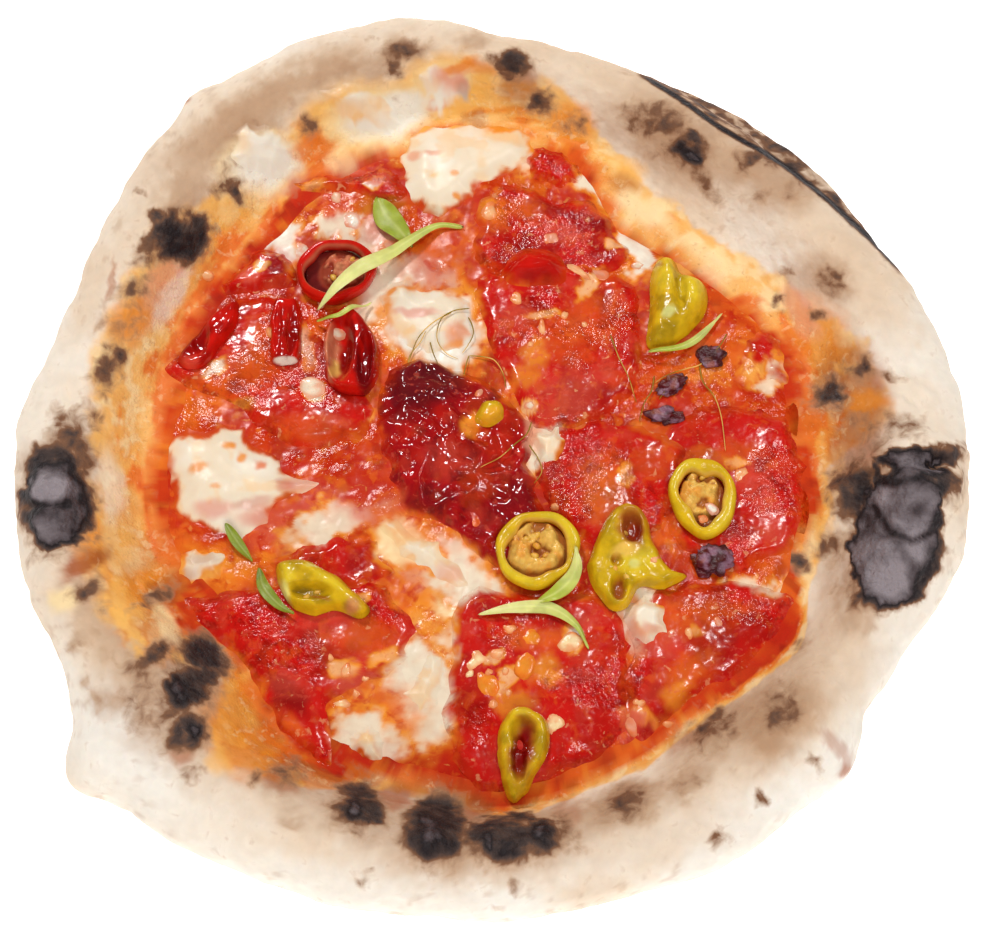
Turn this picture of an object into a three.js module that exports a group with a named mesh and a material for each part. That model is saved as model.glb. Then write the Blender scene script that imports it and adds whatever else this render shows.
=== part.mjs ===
import * as THREE from 'three';
import { mergeVertices } from 'three/addons/utils/BufferGeometryUtils.js';

// A diavola pizza, 30 cm across, as it lies on a table. Millimetres, +Z up.
// The origin is the middle of the underside. +X is to the viewer's right and
// +Y points away from the viewer. Angles are in degrees, anticlockwise from +X.
// Places are measured from a point near the middle of the sauce, and the whole
// group is shifted at the end.

const GAP = 0.4;                 // clearance between two pieces that touch
const BED_TOP = 3.6;             // top of the thin dough under the sauce
const WIDEST_HEIGHT = 8.5;       // where the rim is widest
const CREST_HEIGHT = 20.5;       // mean height of the puffed rim
const CREST_PLACE = 0.56;        // of the rim's width, from its inner edge
const UNDERCUT = 15;             // how far the outer underside curls up
const BED_EDGE = 0.93;           // flat part of the bed, as a share of its radius
const SAUCE_THICKNESS = 1.2;
const RIM_COLUMNS = 120;         // facets round the rim

// The middle of the whole outline, from where the toppings are measured.
const OUTLINE_MIDDLE = { x: -0.458, y: 1.262 };

// Rim radii, at equal steps of angle from +X.
const OUTER_RADII = [
  149.5, 148, 144.5, 144, 144, 144, 150, 158.8, 160.5, 155.5, 149.3, 146,
  150.2, 152.1, 151, 161, 156, 153.3, 151.3, 149.3, 150.8, 147.5, 144.7, 150.6,
];
const INNER_RADII = [
  102, 104, 104, 101, 108, 117, 121, 118, 112, 110, 109,
  111, 113, 107, 113, 116, 118, 117, 113, 109, 110, 107,
];

// Corners where the dough was stretched by hand: angle, radial step, half-width.
const CORNERS = [
  { at: 221.3, out: 7.5, width: 3.6 },
  { at: 130, out: 4.8, width: 3.5 },
  { at: 313.5, out: 3.6, width: 4 },
  { at: 321, out: -2, width: 3 },
];

// Bubbles that the oven's heat blew up in the rim: place, half-sizes, height.
const BLISTERS = [
  { x: -135, y: -28, rx: 10, ry: 13, rise: 3.5 },
  { x: -91, y: -87, rx: 16, ry: 16, rise: 5.5 },
  { x: 126, y: -22, rx: 18, ry: 14, rise: 5 },
  { x: 122, y: -43, rx: 12, ry: 10, rise: 3 },
  { x: 104, y: -25, rx: 8, ry: 12, rise: 3 },
  { x: -103, y: 68, rx: 12, ry: 10, rise: 3 },
  { x: -19, y: -127, rx: 9, ry: 10, rise: 2.5 },
  { x: 5, y: -128, rx: 17, ry: 7, rise: 2 },
  { x: -37, y: -121, rx: 11, ry: 7, rise: 1.6 },
  { x: -133, y: -50, rx: 6, ry: 6, rise: 1.5 },
  { x: 61, y: 104, rx: 14, ry: 14, rise: 2.5 },
  { x: 114, y: 26, rx: 9, ry: 11, rise: 2.5 },
  { x: 104, y: 10, rx: 7, ry: 7, rise: 2.5 },
  { x: 42, y: 92, rx: 8, ry: 9, rise: 2.5 },
  { x: 3, y: 134, rx: 9, ry: 7, rise: 2 },
  { x: 88, y: -85, rx: 14, ry: 13, rise: 2 },
];

// Far right, the rim has a crease, and its scorched lower lip sticks out.
const LIP = { at: 47, width: 17, inset: 7 };

const MATERIALS = {
  dough: finish('#e8d9c4', 0.85),
  sauce: finish('#cf4310', 0.35),
  cheese: finish('#efdcbc', 0.4),
  roastedCheese: finish('#edaa55', 0.45),
  salami: finish('#c9261b', 0.3),
  darkSalami: finish('#8c2523', 0.3),
  redChili: finish('#b3120b', 0.25),
  greenChili: finish('#c9920f', 0.3),
  charred: finish('#6d4547', 0.6),
  leaf: finish('#a9b04a', 0.5),
};

function finish(color, roughness) {
  return new THREE.MeshStandardMaterial({ color, roughness, metalness: 0 });
}

const radians = THREE.MathUtils.degToRad;
const smooth = (t) => THREE.MathUtils.smoothstep(t, 0, 1);
const lerp = THREE.MathUtils.lerp;

// A smooth closed curve through values that stand at equal steps of angle.
function around(values, degrees) {
  const n = values.length;
  const turn = (((degrees % 360) + 360) % 360) / 360 * n;
  const i = Math.floor(turn);
  const f = turn - i;
  const [a, b, c, d] = [-1, 0, 1, 2].map((k) => values[(i + k + n) % n]);
  return b + 0.5 * f * (c - a + f * (2 * a - 5 * b + 4 * c - d + f * (3 * (b - c) + d - a)));
}

function bell(degrees, centre, width) {
  const away = ((degrees - centre + 540) % 360) - 180;
  return Math.exp(-((away / width) ** 2));
}

function outerRadius(degrees) {
  return CORNERS.reduce((r, c) => r + c.out * bell(degrees, c.at, c.width), around(OUTER_RADII, degrees));
}

const innerRadius = (degrees) => around(INNER_RADII, degrees);

function crestHeight(degrees) {
  const a = radians(degrees);
  return CREST_HEIGHT + 1.2 * Math.sin(3 * a + 1) + 0.8 * Math.sin(7 * a + 2);
}

// The inner slope is steep at the front, where the rim leans over the sauce.
function slopeFullness(degrees) {
  return lerp(0.85, 0.5, bell(degrees, 270, 60));
}

function blisterRise(x, y) {
  return BLISTERS.reduce((z, b) => {
    const away = Math.hypot((x - b.x) / b.rx, (y - b.y) / b.ry);
    return z + b.rise * Math.exp(-(away ** 3));
  }, 0);
}

// Height of the dough's upper face, out to the rim's crest.
function doughTop(x, y) {
  const degrees = THREE.MathUtils.radToDeg(Math.atan2(y, x));
  const r = Math.hypot(x, y);
  const inner = innerRadius(degrees);
  const crest = lerp(inner, outerRadius(degrees), CREST_PLACE);
  const down = THREE.MathUtils.clamp((crest - r) / (crest - inner), 0, 1);
  const rise = (crestHeight(degrees) - BED_TOP) * (0.5 + 0.5 * Math.cos(Math.PI * down)) ** slopeFullness(degrees);
  const onRim = smooth((r / inner - BED_EDGE) / (1 - BED_EDGE));
  return BED_TOP + rise + onRim * blisterRise(x, y);
}

// The section of the dough, from the middle of its underside round the rim to
// the middle of its top. Each point knows how it follows the rim at an angle.
function doughSection() {
  const underside = [0, 0.4, 0.75, 1].map((t) => ({ band: 'under', t }));
  const outside = [-60, -30, 0, 25, 48, 70].map((lift) => ({ band: 'outside', lift }));
  const slope = [0, 0.2, 0.4, 0.56, 0.7, 0.85, 1].map((down) => ({ band: 'slope', down }));
  const bed = [BED_EDGE, 0.5, 0].map((t) => ({ band: 'bed', t }));
  return [...underside, ...outside, ...slope, ...bed];
}

function placeOnDough(point, degrees) {
  const outer = outerRadius(degrees);
  const inner = innerRadius(degrees);
  const crest = lerp(inner, outer, CREST_PLACE);
  const top = crestHeight(degrees);
  if (point.band === 'under') {
    return { r: point.t * (outer - UNDERCUT), z: 0 };
  }
  if (point.band === 'outside') {
    const lift = radians(point.lift);
    const crease = LIP.inset * bell(degrees, LIP.at, LIP.width) * smooth((point.lift - 5) / 20) * Math.cos(lift);
    const half = point.lift < 0 ? WIDEST_HEIGHT : top - WIDEST_HEIGHT;
    return { r: lerp(crest, outer, Math.cos(lift) ** 0.9) - crease, z: WIDEST_HEIGHT + half * Math.sin(lift) };
  }
  if (point.band === 'slope') {
    return { r: lerp(crest, inner, point.down), z: null };
  }
  return { r: point.t * inner, z: null };
}

function makeDough() {
  const section = doughSection();
  const nominal = section.map((point) => {
    const { r, z } = placeOnDough(point, 0);
    return new THREE.Vector2(r, z ?? BED_TOP);
  });
  const geometry = new THREE.LatheGeometry(nominal, RIM_COLUMNS);
  geometry.rotateX(Math.PI / 2);
  const position = geometry.attributes.position;
  for (let i = 0; i < position.count; i += 1) {
    const column = Math.floor(i / section.length) % RIM_COLUMNS;
    const degrees = 360 * column / RIM_COLUMNS;
    const point = section[i % section.length];
    const { r, z } = placeOnDough(point, degrees);
    const x = r * Math.cos(radians(degrees));
    const y = r * Math.sin(radians(degrees));
    const raised = point.band === 'outside' && point.lift > 20 ? blisterRise(x, y) : 0;
    position.setXYZ(i, x, y, z === null ? doughTop(x, y) : z + raised);
  }
  return meshOf('crust', closed(geometry), MATERIALS.dough);
}

function closed(geometry) {
  geometry.deleteAttribute('normal');
  geometry.deleteAttribute('uv');
  const merged = mergeVertices(geometry, 1e-4);
  const index = Array.from(merged.index.array);
  const faces = [];
  for (let i = 0; i < index.length; i += 3) {
    const [a, b, c] = index.slice(i, i + 3);
    if (a !== b && b !== c && c !== a) faces.push(a, b, c);
  }
  merged.setIndex(faces);
  if (volumeOf(merged) < 0) {
    merged.setIndex(faces.map((_, i) => faces[i - (i % 3) + [0, 2, 1][i % 3]]));
  }
  merged.computeVertexNormals();
  return merged;
}

function volumeOf(geometry) {
  const p = geometry.attributes.position;
  const at = (i) => new THREE.Vector3().fromBufferAttribute(p, geometry.index.getX(i));
  let volume = 0;
  for (let i = 0; i < geometry.index.count; i += 3) {
    volume += at(i).dot(at(i + 1).cross(at(i + 2))) / 6;
  }
  return volume;
}

function meshOf(name, geometry, material) {
  const mesh = new THREE.Mesh(geometry, material);
  mesh.name = name;
  return mesh;
}

// The heights of what already lies on the pizza, on a square grid, so that
// each topping drapes over those beneath it.
const REACH = 142;
const STEP = 2;
const SIDE = 2 * REACH / STEP + 1;
let heights = Array.from({ length: SIDE * SIDE }, (_, k) => doughTop(gridX(k), gridY(k)));

function gridX(k) { return (k % SIDE) * STEP - REACH; }
function gridY(k) { return Math.floor(k / SIDE) * STEP - REACH; }

function highestNear(x, y, radius) {
  const cells = Math.ceil(radius / STEP);
  const ci = Math.round((x + REACH) / STEP);
  const cj = Math.round((y + REACH) / STEP);
  let top = 0;
  for (let j = cj - cells; j <= cj + cells; j += 1) {
    for (let i = ci - cells; i <= ci + cells; i += 1) {
      if (i < 0 || j < 0 || i >= SIDE || j >= SIDE) continue;
      const k = j * SIDE + i;
      if (Math.hypot(gridX(k) - x, gridY(k) - y) <= radius) top = Math.max(top, heights[k]);
    }
  }
  return top;
}

function inside(outline, x, y) {
  let within = false;
  outline.forEach((a, i) => {
    const b = outline[(i + 1) % outline.length];
    if ((a.y > y) !== (b.y > y) && x < a.x + (y - a.y) / (b.y - a.y) * (b.x - a.x)) within = !within;
  });
  return within;
}

function edgeDistance(outline, x, y) {
  let least = Infinity;
  outline.forEach((a, i) => {
    const b = outline[(i + 1) % outline.length];
    const along = new THREE.Vector2().subVectors(b, a);
    const t = THREE.MathUtils.clamp(((x - a.x) * along.x + (y - a.y) * along.y) / along.lengthSq(), 0, 1);
    least = Math.min(least, Math.hypot(x - a.x - t * along.x, y - a.y - t * along.y));
  });
  return least;
}

function layOnGrid(outline, topAt) {
  const old = heights;
  const fresh = old.map((z, k) => (inside(outline, gridX(k), gridY(k)) ? Math.max(z, topAt(gridX(k), gridY(k))) : z));
  heights = fresh;
}

function smoothOutline(points, count) {
  const curve = new THREE.CatmullRomCurve3(points.map(([x, y]) => new THREE.Vector3(x, y, 0)), true, 'centripetal');
  return curve.getSpacedPoints(count).slice(0, count).map((p) => new THREE.Vector2(p.x, p.y));
}

function middleOf(outline) {
  const sum = outline.reduce((m, p) => m.add(p), new THREE.Vector2());
  return sum.divideScalar(outline.length);
}

// A flat food piece: a closed slab between two like faces of rings of points,
// thin at its edge, that follows whatever lies under it.
function slab(name, material, piece) {
  const { points, count = 20, rings = [0.5, 0.82, 1], thick = 2.2, edge = 0.9, bevel = 5, drape = 5 } = piece;
  const relief = piece.relief ?? (() => 0);
  const outline = smoothOutline(points, count);
  const middle = piece.middle ? new THREE.Vector2(...piece.middle) : middleOf(outline);
  const thickness = (x, y) => {
    const within = smooth(edgeDistance(outline, x, y) / bevel);
    return edge + (thick - edge + relief(x, y)) * within;
  };
  const under = (x, y) => highestNear(x, y, drape) + GAP;
  const face = [middle, ...rings.flatMap((t) => outline.map((p) => middle.clone().lerp(p, t)))];
  const lower = face.map((p) => [p.x, p.y, under(p.x, p.y)]);
  const upper = face.map((p, i) => [p.x, p.y, lower[i][2] + thickness(p.x, p.y)]);
  const geometry = facedSlab(lower, upper, count, rings.length);
  layOnGrid(outline, (x, y) => under(x, y) + thickness(x, y));
  return meshOf(name, geometry, material);
}

function facedSlab(lower, upper, count, ringCount) {
  const n = lower.length;
  const faces = [];
  const at = (ring, i) => 1 + ring * count + (i % count);
  for (let i = 0; i < count; i += 1) {
    faces.push([0, at(0, i), at(0, i + 1)]);
    for (let ring = 0; ring + 1 < ringCount; ring += 1) {
      faces.push([at(ring, i), at(ring + 1, i), at(ring + 1, i + 1)]);
      faces.push([at(ring, i), at(ring + 1, i + 1), at(ring, i + 1)]);
    }
  }
  const rim = ringCount - 1;
  const walls = [];
  for (let i = 0; i < count; i += 1) {
    walls.push([at(rim, i), at(rim, i + 1), at(rim, i + 1) + n]);
    walls.push([at(rim, i), at(rim, i + 1) + n, at(rim, i) + n]);
  }
  const bottom = faces.map(([a, b, c]) => [a, c, b]);
  const top = faces.map((face) => face.map((k) => k + n));
  return indexed([...lower, ...upper], [...bottom, ...top, ...walls]);
}

function indexed(vertices, faces) {
  const geometry = new THREE.BufferGeometry();
  geometry.setAttribute('position', new THREE.Float32BufferAttribute(vertices.flat(), 3));
  geometry.setIndex(faces.flat());
  return closed(geometry);
}

// A short ring cut from a chili, with a floor of seeds inside it.
function chiliRing(name, material, ring) {
  const { x, y, rx, ry, wall, height, seeds, turn = 0, columns = 18, lean = 0 } = ring;
  const radius = rx;
  const profile = [
    [0, 0], [radius * 0.8, 0], [radius, height * 0.3], [radius, height * 0.75], [radius - wall * 0.35, height],
    [radius - wall * 0.85, height * 0.92], [radius - wall, height * 0.6], [radius - wall - 0.8, seeds * 0.7],
    [radius * 0.4, seeds], [0, seeds * 0.85],
  ].map(([r, z]) => new THREE.Vector2(r, z));
  const geometry = new THREE.LatheGeometry(profile, columns);
  geometry.rotateX(Math.PI / 2);
  geometry.scale(1, ry / rx, 1);
  geometry.rotateZ(radians(turn));
  geometry.rotateX(radians(lean));
  const mesh = meshOf(name, closed(geometry), material);
  return rest(mesh, x, y, Math.max(rx, ry), height);
}

// Stands a rigid piece on the highest thing under it.
function rest(mesh, x, y, radius, height, sink = 0) {
  mesh.geometry.computeBoundingBox();
  const floor = highestNear(x, y, radius) + GAP - sink;
  mesh.position.set(x, y, floor - mesh.geometry.boundingBox.min.z);
  const outline = Array.from({ length: 16 }, (_, i) => {
    const a = i / 16 * 2 * Math.PI;
    return new THREE.Vector2(x + radius * Math.cos(a), y + radius * Math.sin(a));
  });
  layOnGrid(outline, () => floor + height);
  return mesh;
}

function every(points, rows, column) {
  return points.filter((_, i) => i % rows === column).map(([x, y]) => new THREE.Vector2(x, y));
}

// A narrow leaf or stalk: a thin wavy strip along a smooth line.
function leaf(name, points, { width, taper = 0.25, thick = 0.5, steps = 10, lift = 1.2, wave = 0.6, sharp = 1 }) {
  const curve = new THREE.CatmullRomCurve3(points.map(([x, y]) => new THREE.Vector3(x, y, 0)), false, 'centripetal');
  const across = [-1, 0, 1];
  const lower = [];
  const upper = [];
  for (let i = 0; i <= steps; i += 1) {
    const t = i / steps;
    const p = curve.getPointAt(t);
    const along = curve.getTangentAt(t);
    const half = 0.5 * width * Math.max(taper, Math.sin(Math.PI * Math.min(1, t * 0.92 + 0.08)) ** sharp);
    const arch = lift * Math.sin(Math.PI * t);
    across.forEach((side) => {
      const x = p.x - along.y * side * half;
      const y = p.y + along.x * side * half;
      const cup = wave * Math.abs(side) * Math.sin(2 * Math.PI * t + 0.6);
      const z = highestNear(x, y, 4) + GAP + arch + Math.max(0, cup);
      lower.push([x, y, z]);
      upper.push([x, y, z + thick]);
    });
  }
  const n = lower.length;
  const rows = across.length;
  const outlineOfLeaf = [...every(upper, rows, 0), ...every(upper, rows, rows - 1).reverse()];
  layOnGrid(outlineOfLeaf, (x, y) => highestNear(x, y, 4) + GAP + lift + wave + thick);
  const faces = [];
  for (let i = 0; i < steps; i += 1) {
    for (let j = 0; j + 1 < rows; j += 1) {
      const a = i * rows + j;
      faces.push([a, a + 1, a + rows + 1], [a, a + rows + 1, a + rows]);
    }
  }
  const border = [];
  for (let i = 0; i < steps; i += 1) border.push([i * rows, (i + 1) * rows]);
  for (let j = 0; j + 1 < rows; j += 1) border.push([steps * rows + j, steps * rows + j + 1]);
  for (let i = steps; i > 0; i -= 1) border.push([i * rows + rows - 1, (i - 1) * rows + rows - 1]);
  for (let j = rows - 1; j > 0; j -= 1) border.push([j, j - 1]);
  const walls = border.flatMap(([a, b]) => [[a, b, b + n], [a, b + n, a + n]]);
  const bottom = faces;
  const top = faces.map(([a, b, c]) => [a + n, c + n, b + n]);
  return meshOf(name, indexed([...lower, ...upper], [...bottom, ...top, ...walls]), MATERIALS.leaf);
}

// A small roasted lump of vegetable.
function scrap(name, { x, y, rx, ry, rz, turn = 0, sink = 0 }) {
  const geometry = new THREE.IcosahedronGeometry(1, 1);
  const position = geometry.attributes.position;
  for (let i = 0; i < position.count; i += 1) {
    const [px, py, pz] = [position.getX(i), position.getY(i), position.getZ(i)];
    const crumple = 1 + 0.16 * Math.sin(4 * px + 2 * x) + 0.14 * Math.sin(5 * py + 3 * pz + y);
    position.setXYZ(i, px * rx * crumple, py * ry * crumple, Math.max(pz, -0.6) * rz);
  }
  geometry.rotateZ(radians(turn));
  return rest(meshOf(name, closed(geometry), MATERIALS.charred), x, y, Math.max(rx, ry), 1.6 * rz, sink);
}

const hump = (x, y, hx, hy, rx, ry, rise) => rise * Math.exp(-(((x - hx) / rx) ** 2) - ((y - hy) / ry) ** 2);
const ripple = (x, y, depth, pitch) => depth * Math.sin(x / pitch + 1.3 * Math.sin(y / pitch)) * Math.cos(y / pitch);

function makeSauce() {
  const count = 44;
  const points = Array.from({ length: count }, (_, i) => {
    const degrees = 360 * i / count;
    const r = innerRadius(degrees) - 4;
    return [r * Math.cos(radians(degrees)), r * Math.sin(radians(degrees))];
  });
  return slab('sauce', MATERIALS.sauce, {
    points, count, rings: [0.5, 0.8, 0.93, 1], middle: [0, 0],
    thick: SAUCE_THICKNESS, edge: 0.8, bevel: 8, drape: 2 * STEP,
    relief: (x, y) => ripple(x, y, 0.25, 9),
  });
}

const CHEESE = {
  cheese_back: {
    points: [[-29, 98], [-31, 109], [-24, 115], [-12, 118], [2, 117], [11, 111], [12, 104], [6, 97],
      [-3, 91], [-9, 84], [-16, 80], [-24, 81], [-29, 89]],
    thick: 3.6, bevel: 9, count: 22,
  },
  cheese_back_left: {
    points: [[-89, 100], [-86, 108], [-78, 111], [-70, 109], [-67, 102], [-71, 96], [-79, 93], [-85, 95]],
    thick: 2.6, count: 14, rings: [0.6, 1],
  },
  cheese_back_rim: {
    points: [[-60, 121], [-56, 125], [-46, 127], [-36, 126], [-31, 121], [-33, 114], [-43, 112], [-53, 114]],
    thick: 2.6, count: 16, rings: [0.6, 1],
  },
  cheese_roasted_back: {
    points: [[-29, 127], [-24, 134], [-15, 137], [-7, 133], [-5, 126], [-9, 121], [-18, 119], [-27, 121]],
    thick: 2.8, count: 16, rings: [0.6, 1], material: 'roastedCheese',
  },
  cheese_middle: {
    points: [[-38, 55], [-31, 60], [-20, 56], [-10, 53], [-5, 45], [-5, 35], [-11, 29], [-20, 28],
      [-30, 31], [-36, 39], [-39, 48]],
    thick: 3, bevel: 7, count: 20, relief: (x, y) => hump(x, y, -33, 52, 6, 6, 2.2),
  },
  cheese_left: {
    points: [[-107, -6], [-104, 3], [-96, 7], [-86, 8], [-77, 5], [-70, -3], [-61, -9], [-52, -13],
      [-55, -20], [-66, -24], [-72, -33], [-80, -37], [-90, -33], [-100, -26], [-104, -16]],
    middle: [-84, -12], thick: 3.2, bevel: 8, count: 26, rings: [0.4, 0.75, 1],
    relief: (x, y) => ripple(x, y, 0.5, 5),
  },
  cheese_diagonal: {
    points: [[-37, -25], [-31, -23], [-22, -30], [-12, -38], [-6, -46], [-11, -52], [-21, -47], [-31, -39], [-38, -31]],
    thick: 2.4, count: 16, rings: [0.6, 1],
  },
  cheese_low: {
    points: [[-24, -72], [-17, -69], [-12, -75], [-14, -84], [-18, -92], [-26, -90], [-30, -82]],
    thick: 2.4, count: 14, rings: [0.6, 1],
  },
  cheese_low_left: {
    points: [[-46, -96], [-40, -91], [-32, -92], [-30, -99], [-35, -104], [-43, -102]],
    thick: 2, count: 12, rings: [0.6, 1],
  },
  cheese_bubble: {
    points: [[-102, -42], [-97, -36], [-88, -35], [-82, -40], [-84, -47], [-92, -49], [-99, -48]],
    thick: 3.4, bevel: 7, count: 14, rings: [0.6, 1], material: 'roastedCheese',
  },
};

const SALAMI = {
  salami_back: {
    points: [[10, 103], [14, 108], [21, 109], [27, 106], [30, 99], [28, 94], [20, 93], [13, 96]],
    count: 14, rings: [0.6, 1],
  },
  salami_strip: {
    points: [[-69, 94], [-62, 98], [-54, 99], [-45, 98], [-36, 101], [-31, 97], [-30, 90], [-36, 86],
      [-44, 88], [-51, 91], [-59, 91]],
    count: 18, rings: [0.6, 1],
  },
  salami_chunk: {
    points: [[-91, 56], [-86, 62], [-80, 70], [-74, 69], [-68, 64], [-66, 57], [-73, 53], [-84, 52]],
    count: 14, rings: [0.6, 1], thick: 3,
  },
  salami_left: {
    points: [[-107, 26], [-98, 37], [-90, 46], [-80, 51], [-68, 50], [-58, 40], [-48, 26], [-40, 14],
      [-39, 4], [-48, -2], [-60, -3], [-69, -1], [-77, 5], [-85, 12], [-95, 17], [-103, 20]],
    count: 24, rings: [0.4, 0.75, 1], middle: [-70, 22], relief: (x, y) => ripple(x, y, 0.6, 6),
  },
  salami_top: {
    points: [[-7, 84], [-2, 93], [5, 95], [14, 93], [23, 88], [33, 88], [38, 83], [41, 75], [46, 67],
      [40, 60], [24, 58], [8, 58], [-6, 63], [-8, 74]],
    count: 22, rings: [0.5, 0.8, 1], relief: (x, y) => ripple(x, y, 0.5, 5),
  },
  salami_middle: {
    points: [[-6, 58], [4, 62], [18, 64], [32, 62], [44, 58], [49, 50], [47, 40], [48, 30], [46, 18],
      [39, 9], [27, 4], [14, 4], [8, 11], [5, 20], [0, 30], [-4, 42]],
    count: 24, rings: [0.35, 0.7, 1], relief: (x, y) => ripple(x, y, 0.7, 6),
  },
  salami_right: {
    points: [[50, -8], [54, 4], [62, 11], [74, 13], [86, 12], [94, 7], [99, -2], [101, -12], [99, -24],
      [94, -34], [86, -41], [76, -44], [64, -41], [55, -32], [51, -20]],
    count: 22, rings: [0.5, 0.8, 1], drape: 7, relief: (x, y) => ripple(x, y, 0.5, 7),
  },
  salami_centre_right: {
    points: [[12, -6], [20, 3], [34, 7], [48, 6], [58, 1], [62, -8], [60, -20], [53, -30], [42, -37],
      [30, -36], [20, -28], [14, -18]],
    count: 20, rings: [0.5, 0.8, 1], relief: (x, y) => ripple(x, y, 0.6, 6),
  },
  salami_low_middle: {
    points: [[-12, -52], [-5, -48], [6, -50], [18, -51], [30, -51], [39, -58], [42, -70], [42, -86],
      [38, -97], [27, -105], [14, -110], [3, -113], [-6, -112], [-12, -104], [-16, -92], [-14, -76], [-13, -62]],
    count: 26, rings: [0.4, 0.75, 1], relief: (x, y) => ripple(x, y, 0.6, 6),
  },
  salami_low_right: {
    points: [[44, -55], [54, -49], [68, -48], [82, -49], [91, -51], [91, -59], [86, -66], [80, -73],
      [73, -79], [65, -83], [57, -88], [50, -95], [43, -99], [40, -88], [41, -70]],
    middle: [60, -68], count: 22, rings: [0.5, 0.8, 1], relief: (x, y) => ripple(x, y, 0.5, 6),
  },
  salami_low_left: {
    points: [[-98, -52], [-88, -51], [-78, -49], [-66, -46], [-54, -44], [-40, -46], [-30, -52], [-24, -62],
      [-26, -72], [-34, -79], [-45, -82], [-51, -90], [-48, -99], [-49, -106], [-57, -101], [-65, -94],
      [-71, -85], [-78, -73], [-89, -63]],
    middle: [-56, -66], count: 28, rings: [0.35, 0.7, 1], relief: (x, y) => ripple(x, y, 0.7, 6),
  },
  salami_centre: {
    points: [[-34, 25], [-26, 29], [-15, 27], [-5, 23], [3, 18], [9, 11], [12, 3], [12, -7], [14, -18],
      [17, -28], [12, -38], [2, -44], [-6, -38], [-14, -30], [-24, -26], [-31, -19], [-34, -8], [-37, 2], [-38, 14]],
    count: 26, rings: [0.35, 0.7, 1], thick: 3, material: 'darkSalami', relief: (x, y) => ripple(x, y, 1.2, 4.5),
  },
  salami_flap: {
    points: [[-69, -40], [-60, -36], [-50, -33], [-40, -33], [-34, -38], [-33, -46], [-42, -50], [-56, -49], [-66, -45]],
    count: 16, rings: [0.6, 1],
  },
  salami_fold: {
    points: [[2, 58], [4, 65], [9, 69], [16, 69], [22, 66], [25, 60], [23, 55], [14, 54], [6, 54]],
    count: 14, rings: [0.6, 1], thick: 4, bevel: 6,
  },
  salami_corner: {
    points: [[82, 35], [88, 39], [93, 34], [96, 26], [95, 20], [89, 21], [83, 27]],
    count: 12, rings: [0.6, 1],
  },
};

const CHEESE_ON_TOP = {
  cheese_right: {
    points: [[41, -55], [46, -51], [53, -53], [54, -60], [50, -67], [43, -67], [40, -61]],
    thick: 2.2, count: 14, rings: [0.6, 1],
  },
  cheese_crumb: {
    points: [[13, 3], [21, 5], [23, -1], [20, -7], [14, -6]],
    thick: 2, count: 10, rings: [1],
  },
};

// Chili pieces that aren't rings: slices, ends and halves.
const CHILI = {
  chili_green_ear: {
    points: [[31, -37], [35, -28], [41, -22], [47, -25], [50, -35], [54, -43], [60, -46], [53, -50],
      [45, -50], [41, -56], [36, -57], [31, -50], [29, -43]],
    count: 20, rings: [0.5, 0.8, 1], thick: 5.5, bevel: 3, edge: 2.5,
    relief: (x, y) => -hump(x, y, 43, -31, 2.5, 4, 3) - hump(x, y, 38, -49, 2.5, 4, 3),
  },
  chili_green_drop: {
    points: [[1, -97], [3, -91], [8, -88], [14, -90], [17, -96], [15, -104], [10, -113], [5, -116], [2, -107]],
    count: 18, rings: [0.5, 0.8, 1], thick: 5, bevel: 3, edge: 2,
    relief: (x, y) => -hump(x, y, 9.5, -97, 3, 5, 4),
  },
  chili_green_half: {
    points: [[-68, -43], [-60, -41], [-52, -44], [-44, -50], [-38, -57], [-41, -60], [-49, -57], [-57, -59], [-64, -54]],
    count: 18, rings: [0.5, 0.8, 1], thick: 5.5, bevel: 4, edge: 1.6,
    relief: (x, y) => -hump(x, y, -57, -52, 5, 3, 3.5),
  },
  chili_green_chunk: {
    points: [[51, 45], [52, 58], [55, 65], [60, 65], [62, 60], [66, 58], [70, 55], [70, 46], [64, 38], [56, 32], [50, 33]],
    count: 20, rings: [0.5, 0.8, 1], thick: 7.5, bevel: 6, edge: 2,
    relief: (x, y) => -hump(x, y, 61, 52, 1.6, 7, 2.5),
  },
  chili_green_seed: {
    points: [[-6, 8], [-3, 13], [2, 12], [3, 7], [-1, 4], [-5, 5]],
    count: 12, rings: [0.6, 1], thick: 3.4, bevel: 3,
  },
  chili_red_half: {
    points: [[-72, 49], [-64, 49], [-62, 38], [-63, 27], [-71, 26], [-73, 36]],
    count: 16, rings: [0.55, 1], thick: 5, bevel: 4, edge: 1.5, material: 'redChili',
    relief: (x, y) => -hump(x, y, -67.5, 38, 1.8, 12, 2.6),
  },
  chili_red_quarter: {
    points: [[-103, 28], [-97, 38], [-90, 46], [-84, 49], [-84, 40], [-89, 32], [-95, 25]],
    middle: [-92, 37], count: 16, rings: [0.55, 1], thick: 4, bevel: 4, edge: 1.5, material: 'redChili',
  },
  chili_red_hoop: {
    points: [[-55, 28], [-55, 38], [-50, 46], [-44, 45], [-38, 35], [-37, 25], [-41, 16], [-47, 15], [-53, 19]],
    count: 20, rings: [0.4, 0.75, 1], thick: 7.5, bevel: 3, edge: 3, material: 'redChili',
    relief: (x, y) => -hump(x, y, -48, 30, 3.5, 10, 5),
  },
};

const RINGS = {
  chili_green_ring_low: { x: 13.5, y: -38, rx: 13, ry: 12.5, wall: 4, height: 5, seeds: 2.6 },
  chili_green_ring_right: { x: 65.5, y: -21, rx: 10.5, ry: 13, wall: 3.5, height: 5.5, seeds: 2.2 },
  chili_red_ring: { x: -52, y: 59.5, rx: 13, ry: 11, wall: 3, height: 6.5, seeds: 2.6, material: 'redChili' },
};

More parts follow.
